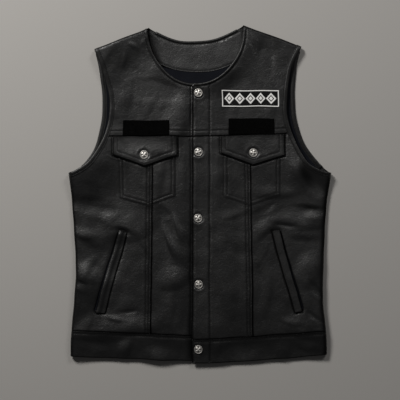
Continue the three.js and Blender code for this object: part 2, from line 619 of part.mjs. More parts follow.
add('back_panel', backPanel(), LEATHER_BLACK);
add('back_waistband', backBand(), LEATHER_BLACK);
add('back_neck_facing', keep(linedBack(), facingRegion(0)), LEATHER_BLACK);
add('back_lining', cut(linedBack(), facingRegion(GAP)), LINING_NAVY);
add('back_neck_binding', backBinding(backNeck, BINDING.neck), LEATHER_BLACK);
for (const side of SIDES) {
  add(`${side}_yoke`, yokePanel(side), LEATHER_BLACK);
  add(`${side}_centre_panel`, centrePanel(side), LEATHER_BLACK);
  add(`${side}_side_panel`, sidePanel(side), LEATHER_BLACK);
  add(`${side}_waistband`, frontBand(side), LEATHER_BLACK);
  add(`${side}_neck_binding`, neckBinding(side), LEATHER_BLACK);
  const [lowerBinding, upperBinding] = [body, yoke].map((grid) => frontArmholeBinding(side, grid));
  add(`${side}_armhole_binding_lower`, keep(lowerBinding, below(yokeY, -halfGap)), LEATHER_BLACK);
  add(`${side}_armhole_binding_upper`, keep(upperBinding, above(yokeY, halfGap)), LEATHER_BLACK);
  add(`${side}_back_armhole_binding`, backBinding(backArmhole[side], BINDING.armhole), LEATHER_BLACK);
  add(`${side}_chest_pocket_bag`, chestPocketBag(side), LINING_NAVY);
  add(`${side}_chest_flap`, chestFlap(side), LEATHER_BLACK);
  add(`${side}_loop_strip`, loopStrip(side), LOOP_BLACK);
  add(`${side}_hand_pocket_welt`, welt(side), LEATHER_BLACK);
  add(`${side}_hand_pocket_bag`, handPocketBag(side), LINING_NAVY);
  const [x, y] = CHEST[side].snap;
  addSnap(`${side}_flap_snap`, x, y, restHeight(body, side, x, y, flapBase + FLAP_THICKNESS));
}
add('name_patch', namePatch(), PATCH_WHITE);
SNAP_Y.forEach((y, i) => {
  const grid = y > YOKE_Y ? yoke : body;
  const rise = y < bandTop.left(SNAP_X) ? BAND_EXTRA : 0;
  addSnap(`front_snap_${i + 1}`, SNAP_X, y, restHeight(grid, 'left', SNAP_X, y, rise));
});

export default vest;
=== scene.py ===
"""A black leather waistcoat with a snap front, laid flat on a pale floor and seen from straight above.

Plan sizes are in millimetres here and repeat the frame's own; meshes are made in metres. Each panel is a
closed shell of close points between an outer and an inner height function. What lies on a panel uses the
same functions moved out, and the stitches are sewn along named rows.
"""
import math
from collections import namedtuple

import bpy
import numpy as np
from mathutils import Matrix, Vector
from mathutils.geometry import delaunay_2d_cdt


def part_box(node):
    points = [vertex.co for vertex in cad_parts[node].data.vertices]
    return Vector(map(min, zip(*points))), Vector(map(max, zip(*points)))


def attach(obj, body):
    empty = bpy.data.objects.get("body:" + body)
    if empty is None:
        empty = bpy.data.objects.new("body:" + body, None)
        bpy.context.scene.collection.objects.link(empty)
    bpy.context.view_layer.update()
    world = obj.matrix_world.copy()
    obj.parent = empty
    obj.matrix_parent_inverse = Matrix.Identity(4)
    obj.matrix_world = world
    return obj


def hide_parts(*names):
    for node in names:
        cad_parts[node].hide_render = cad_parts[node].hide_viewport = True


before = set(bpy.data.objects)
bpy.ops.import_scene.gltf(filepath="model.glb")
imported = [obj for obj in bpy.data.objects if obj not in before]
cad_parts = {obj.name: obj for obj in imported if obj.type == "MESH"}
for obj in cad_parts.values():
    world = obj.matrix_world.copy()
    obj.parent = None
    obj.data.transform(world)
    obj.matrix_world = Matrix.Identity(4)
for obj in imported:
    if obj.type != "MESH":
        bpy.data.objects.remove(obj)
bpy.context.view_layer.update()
MM = 0.001
SIDES = ("right", "left")
SIGN = {"right": -1, "left": 1}

# Driving sizes
HALF_LENGTH = 330
LEATHER = 1.4
CLOTH = 1.0
GAP = 0.3
HALF_GAP = GAP / 2
SEAM_Z = 5
UP_SEAM = SEAM_Z + HALF_GAP
DOWN_SEAM = SEAM_Z - HALF_GAP
FRONT_Z = 6.3
LOWEST_FRONT = 5.7
LOWEST_SOFT = 0.16
ROLL = 6
ROLL_LIP = 0.6
EDGE_RISE = 4.2
STAND = {"fold": (1, 62), "armhole": (0.55, 46), "neck": (0.4, 38)}
OVERLAP_X = -15.6
UNDERLAP_X = 16
LAP_FULL_X = 34
LAP_END_X = 70
LAP_CORNER = 7
SNAP_X = -3
SNAP_Y = (197, 82, -47, -176, -303)
FRONT_SNAPS = [(SNAP_X, y) for y in SNAP_Y]
YOKE_Y = 112.6
YOKE_RISE = 0.032
BAND_HEIGHT = {"right": 51, "left": 47.5}
BAND_EXTRA = 0.5
BAND_BLEND = 60
RIGHT_HEM = {"y": -326.5, "slope": 0.042}
LEFT_HEM = {"rise": 17, "reach": 250, "power": 1.4}
NECK = {"x": -8.5, "y": 325, "half_width": 93.5, "depth": 109.5}
NECK_POINT = {"right": (-98, 324.5), "left": (84.2, 330)}
SHOULDER_TIP = {"right": (-205.7, 283.1), "left": (197.9, 287.6)}
BACK_NECK_DIP = (-8, 269.6)
BINDING = {"thickness": 1.0, "neck": 5, "armhole": 9}
SIDE = [
    {"y": -332, "right": 253, "left": 248},
    {"y": -270, "right": 250.5, "left": 246},
    {"y": -210, "right": 246.5, "left": 240.5},
    {"y": -150, "right": 242, "left": 241},
    {"y": -68, "right": 246, "left": 244},
    {"y": -8, "right": 250.5, "left": 248.5},
    {"y": 41, "right": 256, "left": 256},
]
FRONT_ARMHOLE = {
    "right": [(-256, 41), (-241.6, 46.5), (-213.7, 67), (-189.2, 108), (-178.2, 150),
              (-177, 190), (-189.3, 237), (-205.7, 283.1)],
    "left": [(256, 41), (230.5, 48.5), (204.4, 68), (181.2, 114), (170.5, 150),
             (169, 182), (178.2, 243), (197.9, 287.6)],
}
BACK_ARMHOLE = {
    "right": [(-256, 41), (-230, 57), (-207, 87), (-194.5, 134), (-190.5, 180), (-195, 228),
              (-205.7, 283.1)],
    "left": [(256, 41), (232.4, 62), (205, 100), (189.5, 144), (184.9, 188), (189.5, 247),
             (197.9, 287.6)],
}
PANEL_SEAM = {"right": (-92.5, -95.5), "left": (97.5, 103.7), "low": -270, "span": 380}
POCKET_RELIEF = 0.8
FLAP_THICKNESS = 1.9
CHEST = {
    "right": {
        "bag": {"inner": -48, "outer": -157, "inner_y": -5, "outer_y": -8, "tip": (-100.4, -24)},
        "flap": {"inner": -43.9, "outer": -169.7, "inner_y": 76, "outer_y": 76.4, "tip": (-107.6, 54.6)},
        "snap": (-108.8, 77), "strip": (-105.5, 128.8),
    },
    "left": {
        "bag": {"inner": 46, "outer": 157, "inner_y": -6, "outer_y": -3, "tip": (97.9, -22)},
        "flap": {"inner": 40, "outer": 165, "inner_y": 79.5, "outer_y": 75, "tip": (103.7, 56)},
        "snap": (103.7, 80), "strip": (100, 132),
    },
}
STRIP = {"width": 90, "height": 30.5, "thickness": 1.8, "corner": 1.2}
PATCH = {"x": 98.2, "y": 186, "width": 112, "height": 33, "thickness": 1.2}
WELT_THICKNESS = 2.4
SLOT = {"under": 1.2, "beyond": 2, "short": 4}
WELT = {
    "right": {"outer_top": (-158.1, -69.4), "inner_top": (-141.6, -74),
              "outer_bottom": (-204, -230), "inner_bottom": (-185, -233), "fall": 0.72, "roll": 6.0},
    "left": {"outer_top": (154.8, -69), "inner_top": (138.8, -72.7),
             "outer_bottom": (199, -228), "inner_bottom": (183.7, -231), "fall": 0.25, "roll": 3.6},
}
FACING = {"x": -8, "y": 237.5, "sag": 0.0029, "right": -124, "left": 108}
LINING_INSET = 12
INSET = GAP + BINDING["thickness"]
FAR = 420
BELOW = -340

# Folds and creases, with headings in degrees. A ridge has a positive rise, and a trough a negative one.
Fold = namedtuple("Fold", "x y heading half_length half_width rise bend")
RIGHT_FOLDS = [
    (-224, 52, -4, 92, 100, 8.0, 0), (-206, -27, -10, 62, 16, -1.0, 0.002), (-146, -70, 8, 62, 44, 3.0, 0),
    (-147, -71, -22, 27, 9, -1.7, -0.01), (-113, -92, -70, 32, 9, 1.1, 0.003),
    (-186, -48, -40, 36, 20, 0.7, 0), (-228, -80, -14, 32, 13, 1.3, 0.004), (-206, -92, -12, 42, 22, 1.2, 0),
    (-204, -182, -25, 56, 54, 3.6, 0), (-221, -160, -22, 36, 22, 1.8, 0.004),
    (-214, -140, 62, 34, 13, 0.9, -0.004), (-236, -186, -20, 24, 10, 0.9, 0),
    (-185, -268, 3, 84, 28, 2.9, 0), (-216, -250, 70, 24, 14, 1.1, 0.003),
    (-140, -229, 5, 24, 6, -1.2, 0.004), (-164, -244, -12, 26, 9, 1.2, 0.004),
    (-120, -260, 4, 66, 22, 2.0, 0), (-240, -215, 84, 44, 12, 0.9, 0), (-40, -150, 89, 160, 25, 2.4, 0),
    (-60, -94, -69, 52, 10, 2.6, 0.001), (-44, -67, -76, 38, 8, 2.2, 0.001),
    (-70, -34, -40, 20, 11, -1.4, 0.003), (-52, -172, 12, 40, 26, 2.4, 0.003),
    (-58, -226, 84, 48, 16, 1.1, 0.001), (-78, 26, 82, 50, 15, 1.1, 0.001),
    (-134, 18, 98, 44, 14, -0.8, 0.002), (-32, 40, 88, 60, 12, 1.0, 0),
]
RIGHT_YOKE_FOLDS = [
    (-176, 280, 50, 96, 92, 5.2, 0), (-86, 208, -8, 66, 28, -2.3, 0.001),
    (-84, 236, -13, 40, 18, 0.5, 0.002), (-34, 150, 68, 80, 32, 2.2, 0), (-146, 262, 74, 30, 7, 0.9, 0.004),
    (-174, 262, 60, 36, 14, -0.8, 0), (-131, 289, -30, 15, 6, 1.1, -0.01),
    (-108, 298, 52, 15, 6, 0.6, 0.006), (-98, 172, 62, 48, 16, 0.8, 0.002), (-140, 190, 80, 46, 18, 0.9, 0),
]
LEFT_FOLDS = [
    (216, 56, -4, 64, 88, 6.6, 0), (190, 44, -60, 48, 20, 0.6, 0), (222, 30, -62, 46, 22, -3.8, 0.001),
    (214, -29, -4, 48, 14, -1.7, 0.001), (150, 0, 3, 62, 16, 1.2, 0.001), (125, -30, 25, 30, 8, -1.6, 0.004),
    (128, -68, 42, 42, 18, 2.0, -0.002), (170, -52, -8, 44, 16, 1.7, -0.003),
    (168, -60, -8, 26, 5, -1.2, -0.004), (210, -60, 6, 44, 20, 1.6, 0), (202, -80, -5, 38, 18, 1.5, 0),
    (216, -150, 60, 46, 32, 2.6, 0), (226, -186, -60, 26, 10, -1.8, 0), (196, -264, -20, 44, 26, 2.8, 0),
    (222, -238, -38, 28, 6, -1.2, 0.003), (174, -250, -14, 32, 10, 1.0, 0.004),
    (253, -150, 90, 200, 30, -3.6, 0), (60, -130, 91, 130, 24, 1.4, 0), (36, 30, 90, 90, 13, 0.8, 0),
    (132, -190, 82, 60, 16, 1.0, 0.001), (70, -40, 20, 40, 12, 0.9, 0.003),
    (120, -120, 60, 40, 14, 0.8, 0.003), (62, 268, 62, 84, 78, 3.4, 0), (104, 262, 88, 50, 24, 0.8, 0),
    (124, 268, 88, 58, 20, -2.4, 0), (98, 284, 118, 30, 10, 0.7, 0.004), (66, 160, 84, 44, 14, 1.0, 0.001),
    (138, 162, 100, 34, 14, 0.8, 0.001), (72, 226, 50, 40, 20, -0.9, 0),
]
BAND_FOLDS = [
    (-86, -326, 10, 46, 26, 4.2, 0), (-144, -302, 70, 28, 18, 3.0, 0), (-200, -290, -6, 48, 13, -1.2, 0.002),
    (164, -310, 80, 28, 22, 2.2, 0), (88, -296, 6, 62, 20, -2.0, 0), (212, -300, -14, 32, 13, 1.5, 0.003),
    (34, -302, 76, 26, 13, 1.0, 0),
]
FOLDS = [Fold(*row) for row in RIGHT_FOLDS + RIGHT_YOKE_FOLDS + LEFT_FOLDS + BAND_FOLDS]
# Hollows beside the deepest folds, where shade is painted on the leather: the rise says how dark the painted
# shade is
HOLLOWS = [Fold(*row) for row in (
    (203, 38, -64, 40, 17, 0.55, 0), (214, -27, -4, 36, 7, 0.6, 0.001), (-216, -10, -4, 52, 11, 0.4, 0),
    (-226, -90, -14, 28, 7, 0.45, 0.004), (-234, -170, -24, 24, 7, 0.6, 0.004),
)]
LEAN = {"gentle": 1.3, "steep": 0.72, "height": 1.25}   # a fold's two flanks are not alike
UNEVEN = {"broad": 0.42, "ripple": 0.27}
TUCK = {"depth": 1.3, "from": 14, "to": 2}
MIDDLE = (-60, 40)                     # where the right side's values turn to the left's
BULGE = {"right": 6.0, "left": 6.6, "starts": 10, "full": 258, "drops": 264, "ends": (340, 322)}
LAP_AT_BAND = (8, 44)
LAP_AT_NECK = (180, 206)

# Rows of stitches: how far from their seam, and how deep each sits
YOKE_ROWS = ((2.3, 0.2), (10.6, 0.5))
SEAM_ROWS = (4.6, 10.6)
SEAM_ROW_SHORT = {"yoke": 1, "band": 1.5}
POCKET_ROWS = (0.4, 7.0)
POCKET_SIDES, POCKET_POINT = 0.8, {"right": 0.6, "left": 0.35}
FLAP_ROWS = ((2.4, 0.2), (9.6, 0.5))
FACING_ROW_IN = {"facing": 3.0, "neck": 2.0, "strength": 0.6}
NECK_ROW = {"beside": 1.2, "strength": 0.7}
BAND_ROW = {"rise": -5.2, "strength": 0.9}
ARMHOLE_ROW = {"inset": 7.4, "rise": 0.85}
PLACKET_X = 18.9
# Rows down the left front: place, low and high ends and strength, then high end and strength on the waistband
PLACKET_ROWS = (
    (PLACKET_X, -326, 215, 1.15, -276, 1.0),
    (OVERLAP_X + 2.5, -327, 207, 1.5, -278, 1.5),
)
ROW_END = {"yoke": {"right": -186, "left": 178}, "band": {"right": -249, "left": 245}}
FRONT_END = {"right": UNDERLAP_X - 1, "left": OVERLAP_X + 1}
LAP_DIP = {"beside": 3, "high": 220, "strength": 1.3}
WELT_DIP = {"grow": 0.6, "right": 0.7, "left": 1.1}
FLAP_DIP = {"beside": 1.6, "strength": 1.3}

# The relief of seams, pockets and snaps on the fronts
GROOVE = {"depth": 0.8, "width": 1.4, "swell": 0.22, "pucker": 0.14, "beside": 3.6, "spread": 1.9}
DIMPLE = {"depth": 0.8, "radius": 9.0, "width": 1.7, "swell": 0.3, "swell_radius": 13.4, "swell_width": 2.8}
POCKET_EDGE = (-1.6, 1.8)
SEAM_LAP = {"height": 0.6, "edge": (0.1, 0.7), "end": (10.5, 14), "hollow": 0.3, "width": 3}
YOKE_LAP = {"height": 0.2, "end": (12, 18), "hollow": 0.45, "width": 3.5}
BAND_LAP = {"height": 0.25, "end": (4, 8), "seam_past": 2}
WELT_HOLLOW = {"depth": 0.9, "width": 4.6}
FLAP_FILL = {"height": 0.8, "below": (14, 44), "edge": (-1, 7)}
FLAP_LIFT = {"right": 2.3, "left": 1.2, "ripple": 0.35, "below": (8, 44)}
PLACKET_FOLD = {"height": 0.35, "edge": (PLACKET_X - 3, PLACKET_X + 0.5)}
CHUNK = 4000
EDGE_STEP = 3.0

# Panels: rings and rows of close points, the grid's spacing, their edges and the widths and strength of the
# painted shade
HALVINGS = 30
CLIP_STEP = 3
RINGS = (0.35, 0.9, 1.8, 3.0)
RING_KEPT = 0.92
ROW_OFFSETS = (-1.3, 0, 1.3)
ROW_STEP = 2.4
ROW_CLEAR = 2.1
SPOT_RADII = (7.5, 8.6, 9.8, 11.4, 13.6)
FINE_CLEAR = 0.7
GRID_CLEAR = 0.45
LINES_APART = 0.866
LEAST_RUN = 0.4
LEAST_THICK = 0.25
LEAST_FILL = 0.31
EDGE_DROP = 0.75
SHADE = {"right_seam": 5.5, "left_seam": 8.0, "edge": 1.6, "row": 0.85, "row_width": 1.3}

# What lies between the back and the fronts, and where shade is painted
INNER_LOW = LEATHER + GAP
INNER_TOP = INNER_LOW + CLOTH
LINING_LOW = -262
FACING_SOFT = {"ripple": 0.35, "broad": 0.25, "share": 0.6}
CURL = {"lift": 0.35, "height": 3.2, "reach": 20, "across": (-80, -40)}
FACING_PAINTED_SHADOW = {"amount": 0.95, "reach": 15, "across": (-84, -52)}
LAP_PAINTED_SHADOW = {"amount": 0.75, "reach": (2.5, 7.5), "down": (0, 120)}
NEAR_NECK = {"place": (-8, 232, 70, 30), "ripple": 0.5, "rise": 0.15}

# Pockets, flaps and welts
MOUTH = {"depth": 0.9, "width": 3.2}
ABOVE_YOKE = 8
FLAP_CORNER = 2.2
WELT_CORNER = 1.5
HAND_BAG = {"past": 12, "inward_top": 40, "inward_bottom": 62, "over": 14, "beneath": 20}
RIDGE = {"share": (0.5, 1.5), "before": 0.4, "end": 12.5}

# A binding's section: distance inside the edge, share between the lower and upper face, and rise
Part = namedtuple("Part", "inward share rise")
ARMHOLE_SECTION = [Part(*row) for row in (
    (9.0, 1, 0.3), (9.0, 1, 1.0), (8.7, 1, 1.25), (8.0, 1, 1.2), (7.4, 1, 0.8), (6.8, 1, 1.25), (5.6, 1, 1.5),
    (3.6, 1, 1.6), (1.9, 1, 1.45), (0.8, 1, 1.05), (0.15, 1, 0.4), (0.0, 0.6, 0), (0.1, 0.1, 0.1),
    (0.5, 0, 0.0), (1.0, 0.05, 0), (1.0, 1, 0.2), (3.0, 1, 0.3), (6.0, 1, 0.3))]
NECK_SECTION = [Part(*row) for row in (
    (5.0, 1, 0.3), (5.0, 1, 0.8), (4.6, 1, 1.2), (3.6, 1, 1.65), (2.5, 1, 1.8), (1.3, 1, 1.6), (0.5, 1, 1.1),
    (0.05, 1, 0.4), (0.0, 0.5, 0), (0.1, 0.1, 0.1), (0.5, 0, 0.0), (1.0, 0.05, 0), (1.0, 1, 0.2),
    (3.0, 1, 0.3))]
# Parts of a binding's section lower than this, and its lower face, get painted shade
SHOWN_RISE = 0.9


# Small maths
def mix(a, b, t):
    return a + (b - a) * t


def smoothstep(x, low, high):
    t = np.clip((x - low) / (high - low), 0, 1)
    return t * t * (3 - 2 * t)


def along(rows, column, y):
    """Value of a table's column at y, on a smooth curve through its rows."""
    ys = np.array([row["y"] for row in rows], float)
    values = np.array([row[column] for row in rows], float)
    last = len(rows) - 1
    slopes = np.array([
        (values[min(k + 1, last)] - values[max(k - 1, 0)]) / (ys[min(k + 1, last)] - ys[max(k - 1, 0)])
        for k in range(last + 1)])
    i = np.clip(np.searchsorted(ys[1:], y), 0, last - 1)
    span = ys[i + 1] - ys[i]
    t = np.clip((y - ys[i]) / span, 0, 1)
    return ((2 * t**3 - 3 * t**2 + 1) * values[i] + (t**3 - 2 * t**2 + t) * span * slopes[i]
            + (3 * t**2 - 2 * t**3) * values[i + 1] + (t**3 - t**2) * span * slopes[i + 1])


def resample(line, step):
    """Points along an open line at about one step; its own corners stay."""
    out = [line[0]]
    for a, b in zip(line[:-1], line[1:]):
        count = max(1, round(math.dist(a, b) / step))
        out += [mix(np.asarray(a), np.asarray(b), k / count) for k in range(1, count + 1)]
    return np.array(out, float)


def run_of(line):
    """The distance along a line at each of its points."""
    return np.concatenate([[0], np.cumsum(np.hypot(*np.diff(line, axis=0).T))])


def evenly(line, step):
    """Points along a smooth line, evenly spaced at about one step."""
    run = run_of(line)
    at = np.linspace(0, run[-1], max(2, round(run[-1] / step) + 1))
    return np.column_stack([np.interp(at, run, line[:, 0]), np.interp(at, run, line[:, 1])])


def curve(points, step=EDGE_STEP):
    """A smooth line through the given points, as a spline with the frame's own slopes."""
    p = np.array(points, float)
    out = []
    for i in range(len(p) - 1):
        a, b, c, d = p[max(i - 1, 0)], p[i], p[i + 1], p[min(i + 2, len(p) - 1)]
        t = np.linspace(0, 1, 25)[:, None]
        v0, v1 = (c - a) / 2, (d - b) / 2
        cubic, square = 2 * b - 2 * c + v0 + v1, -3 * b + 3 * c - 2 * v0 - v1
        out.append((cubic * t**3 + square * t**2 + v0 * t + b)[:-1])
    return evenly(np.vstack([*out, p[-1:]]), step)


def beside(line, distance):
    """A line moved sideways; positive is to the left of its direction."""
    line = np.asarray(line, float)
    before = np.vstack([line[:1], line[:-1]])
    after = np.vstack([line[1:], line[-1:]])
    run = after - before
    run /= np.hypot(*run.T)[:, None]
    return line + np.column_stack([-run[:, 1], run[:, 0]]) * distance


def mitred(path, distance):
    """A path of straight runs moved to the left, with its corners kept sharp."""
    path = np.asarray(path, float)
    run = np.diff(path, axis=0)
    run /= np.hypot(*run.T)[:, None]
    normal = np.column_stack([-run[:, 1], run[:, 0]])
    out = [path[0] + normal[0] * distance]
    for i in range(1, len(path) - 1):
        middle = normal[i - 1] + normal[i]
        out.append(path[i] + middle * distance * 2 / (middle @ middle))
    return np.array([*out, path[-1] + normal[-1] * distance])


def distance_to(x, y, line, closed=False):
    """Least distance of each point to a line of points."""
    line = np.asarray(line, float)
    a, b = line, np.roll(line, -1, axis=0)
    if not closed:
        a, b = a[:-1], b[:-1]
    run = b - a
    size = np.maximum((run**2).sum(1), 1e-12)
    flat = np.column_stack([np.ravel(x), np.ravel(y)])
    out = np.empty(len(flat))
    for start in range(0, len(flat), CHUNK):
        p = flat[start:start + CHUNK, None, :]
        t = np.clip(((p - a) * run).sum(2) / size, 0, 1)
        out[start:start + CHUNK] = np.sqrt(((a + t[..., None] * run - p)**2).sum(2).min(1))
    return out.reshape(np.shape(x))


def inside(x, y, outline):
    """Whether each point lies in a closed outline."""
    outline = np.asarray(outline, float)
    a, b = outline, np.roll(outline, -1, axis=0)
    flat_x, flat_y = np.ravel(x), np.ravel(y)
    out = np.zeros(len(flat_x), bool)
    rise = b[:, 1] - a[:, 1]
    rise[np.abs(rise) < 1e-12] = 1e-12
    for start in range(0, len(flat_x), CHUNK):
        px = flat_x[start:start + CHUNK, None]
        py = flat_y[start:start + CHUNK, None]
        crosses = (a[:, 1] > py) != (b[:, 1] > py)
        at = a[:, 0] + (py - a[:, 1]) / rise * (b[:, 0] - a[:, 0])
        out[start:start + CHUNK] = (crosses & (px < at)).sum(1) % 2 == 1
    return out.reshape(np.shape(x))


def signed_area(outline):
    """Positive where the outline runs anticlockwise."""
    x, y = np.asarray(outline, float).T
    return (x * np.roll(y, -1) - y * np.roll(x, -1)).sum() / 2


def area_of(outline):
    return abs(signed_area(outline))


# Soft unevenness: sums of waves in many directions, the same in each run
def waves(seed, count, short, long):
    random = np.random.RandomState(seed)
    turn = random.uniform(0, math.tau, count)
    length = random.uniform(short, long, count)
    phase = random.uniform(0, math.tau, count)
    return np.cos(turn) * math.tau / length, np.sin(turn) * math.tau / length, phase


def uneven(x, y, table):
    """About -1 to 1."""
    out = np.zeros(np.shape(x))
    for kx, ky, phase in zip(*table):
        out = out + np.sin(kx * x + ky * y + phase)
    return out / math.sqrt(len(table[0]) * 1.4)


BROAD = waves(3, 9, 70, 170)
RIPPLE = waves(5, 12, 24, 60)
PUCKER = waves(8, 14, 6.5, 13)
DRIFT_X = waves(12, 6, 50, 120)
DRIFT_Y = waves(14, 6, 50, 120)
DRIFT = 0.6


# Plan lines
def side_x(side, y):
    return SIGN[side] * along(SIDE, side, np.minimum(y, SIDE[-1]["y"]))


def yoke_y(x):
    return YOKE_Y + np.maximum(x, 0) * YOKE_RISE


def right_hem(x):
    return RIGHT_HEM["y"] + RIGHT_HEM["slope"] * np.abs(x - OVERLAP_X)


def left_hem(x):
    return -HALF_LENGTH + LEFT_HEM["rise"] * (np.maximum(x, 0) / LEFT_HEM["reach"])**LEFT_HEM["power"]


def back_hem(x):
    return np.maximum(right_hem(x), left_hem(x))


HEM = {"right": right_hem, "left": left_hem}


def band_top(side):
    return lambda x: HEM[side](x) + BAND_HEIGHT[side]


def back_band_top(x):
    to_left = smoothstep(x, -BAND_BLEND, BAND_BLEND)
    return back_hem(x) + mix(BAND_HEIGHT["right"], BAND_HEIGHT["left"], to_left)


def seam_x(side):
    top, bottom = PANEL_SEAM[side]
    return lambda y: mix(bottom, top, (y - PANEL_SEAM["low"]) / PANEL_SEAM["span"])


def facing_y(x):
    return FACING["y"] + FACING["sag"] * (x - FACING["x"])**2


def through(a, b, x):
    return a[1] + (b[1] - a[1]) * (x - a[0]) / (b[0] - a[0])


def shoulder_y(x):
    right = through(SHOULDER_TIP["right"], NECK_POINT["right"], x)
    left = through(NECK_POINT["left"], SHOULDER_TIP["left"], x)
    across = through(NECK_POINT["right"], NECK_POINT["left"], x)
    return np.where(x < NECK_POINT["right"][0], right, np.where(x > NECK_POINT["left"][0], left, across))


front_armhole = {side: curve(FRONT_ARMHOLE[side]) for side in SIDES}
back_armhole = {side: curve(BACK_ARMHOLE[side]) for side in SIDES}
around = np.linspace(math.pi, math.tau, 181)
front_neck = evenly(np.column_stack([
    NECK["x"] + NECK["half_width"] * np.cos(around), NECK["y"] + NECK["depth"] * np.sin(around)]), EDGE_STEP)
share = np.linspace(0, 1, 91)[:, None]
back_neck = evenly(
    (1 - share)**2 * np.array(NECK_POINT["right"]) + 2 * share * (1 - share) * np.array(BACK_NECK_DIP)
    + share**2 * np.array(NECK_POINT["left"]), EDGE_STEP)


# Heights of the two fronts
def bell(distance, width):
    return np.exp(-(distance / width)**2)


def folded(x, y, folds):
    """The sum of some folds, each a smooth hump over an ellipse that may be bent."""
    out = np.zeros(np.shape(x))
    for f in folds:
        c, s = math.cos(math.radians(f.heading)), math.sin(math.radians(f.heading))
        u = (x - f.x) * c + (y - f.y) * s
        v = (y - f.y) * c - (x - f.x) * s - f.bend * u**2
        reach = f.half_width * np.where(v * f.rise > 0, LEAN["gentle"], LEAN["steep"])
        q = np.minimum((u / f.half_length)**2 + (v / reach)**2, 1)
        out = out + LEAN["height"] * f.rise * (1 - q)**2
    return out


def fading(kind, distance):
    amount, reach = STAND[kind]
    return amount * (1 - smoothstep(distance, 0, reach))


def stand_share(x, y):
    rest = np.ones(np.shape(x))
    for side in SIDES:
        past = np.maximum(y - SIDE[-1]["y"], 0)
        rest = rest * (1 - fading("fold", np.hypot(np.abs(side_x(side, y) - x), past)))
        rest = rest * (1 - fading("armhole", distance_to(x, y, front_armhole[side])))
    rest = rest * (1 - fading("fold", np.maximum(shoulder_y(x) - y, 0)))
    rest = rest * (1 - fading("neck", distance_to(x, y, front_neck)))
    return 1 - rest


def rounded(distance, width):
    return np.sqrt(np.maximum(1 - (1 - np.clip(distance / width, 0, 1))**2, 0))


def inner_share(d):
    return rounded(d - LEATHER, ROLL - LEATHER)


def seam_distance(x, y):
    """Distance in from the side seams and shoulder seams."""
    half = np.where(x < 0, -side_x("right", y), side_x("left", y))
    return np.maximum(np.minimum(half - np.abs(x), shoulder_y(x) - y), 0)


def fold_distance(x, y):
    return np.minimum(seam_distance(x, y), ROLL)


def bulge(x, y):
    """The body swells down to the waistband, which draws it in."""
    to_left = smoothstep(x, *MIDDLE)
    rise = mix(BULGE["right"], BULGE["left"], to_left)
    drawn_in = smoothstep(-y, BULGE["drops"], mix(*BULGE["ends"], to_left))
    return rise * smoothstep(-y, BULGE["starts"], BULGE["full"]) * (1 - drawn_in)


def crown(x, y):
    soft = UNEVEN["broad"] * uneven(x, y, BROAD) + UNEVEN["ripple"] * uneven(x, y, RIPPLE)
    height = FRONT_Z + EDGE_RISE * stand_share(x, y) + folded(x, y, FOLDS) + bulge(x, y) + soft
    over = height - LOWEST_FRONT
    return LOWEST_FRONT + (over + np.sqrt(over**2 + LOWEST_SOFT)) / 2


def climb(side, x, y):
    """How far the upper front climbs over the lower one."""
    if side == "right":
        return np.zeros(np.shape(x))
    band = 1 - smoothstep(y - band_top("left")(x), *LAP_AT_BAND)
    bound = smoothstep(y, *LAP_AT_NECK)
    lift = LEATHER + GAP + 2 * BAND_EXTRA * band + (BINDING["thickness"] + GAP) * bound
    return lift * (1 - smoothstep(x, LAP_FULL_X, LAP_END_X))


def tuck(side, x):
    """The lower front goes down a little as it runs under the other."""
    if side == "left":
        return np.zeros(np.shape(x))
    return -TUCK["depth"] * smoothstep(x, OVERLAP_X - TUCK["from"], OVERLAP_X - TUCK["to"])


def smooth_top(side):
    """The outer face without its sewing, which carries the flaps, strips, patch, welts and bindings."""
    def top(x, y):
        rise = mix(UP_SEAM, crown(x, y) + tuck(side, x), rounded(fold_distance(x, y), ROLL))
        return np.maximum(rise, UP_SEAM + ROLL_LIP) + climb(side, x, y)
    return top


def front_under(side):
    def under(x, y):
        low = crown(x, y) + tuck(side, x) - LEATHER
        return mix(UP_SEAM, low, inner_share(fold_distance(x, y))) + climb(side, x, y)
    return under


def pointed(part, rise=0):
    """The path of a chest pocket or flap below the yoke seam, inner side first."""
    return np.array([
        (part["inner"], yoke_y(part["inner"]) + rise), (part["inner"], part["inner_y"]), part["tip"],
        (part["outer"], part["outer_y"]), (part["outer"], yoke_y(part["outer"]) + rise)])


# Lines of the rows and dips
def yoke_line(side, rise):
    x = np.sort([ROW_END["yoke"][side], 0, FRONT_END[side]])
    return np.column_stack([x, yoke_y(x) + rise])


def seam_line(side, shift):
    low = band_top(side)(seam_x(side)(PANEL_SEAM["low"]))
    y = np.array([YOKE_Y - SEAM_ROW_SHORT["yoke"], low + SEAM_ROW_SHORT["band"]])
    return np.column_stack([seam_x(side)(y) - shift, y])


def band_line(side, rise):
    x = np.linspace(*sorted((ROW_END["band"][side], FRONT_END[side])), 30)
    return np.column_stack([x, band_top(side)(x) + rise])


def upright(x, low, high):
    return np.array([(x, low), (x, high)])


def path_inset(side, part, distance):
    return mitred(pointed(part, -1), distance * SIGN[side])


def welt_outline(side):
    return np.array([WELT[side][k] for k in ("outer_top", "inner_top", "inner_bottom", "outer_bottom")])


def welt_box(side, grow):
    """The welt's outline as a closed line, a little larger all round."""
    corners = welt_outline(side)
    corners = corners + np.sign(corners - corners.mean(0)) * grow
    return np.vstack([corners, corners[:1]])


def pocket_rows(side, inset):
    """The two sides of a pocket's row, and its pointed bottom, which is faint on the left."""
    path = path_inset(side, CHEST[side]["bag"], inset)
    return [(path[:2], POCKET_SIDES), (path[3:], POCKET_SIDES), (path[1:4], POCKET_POINT[side])]


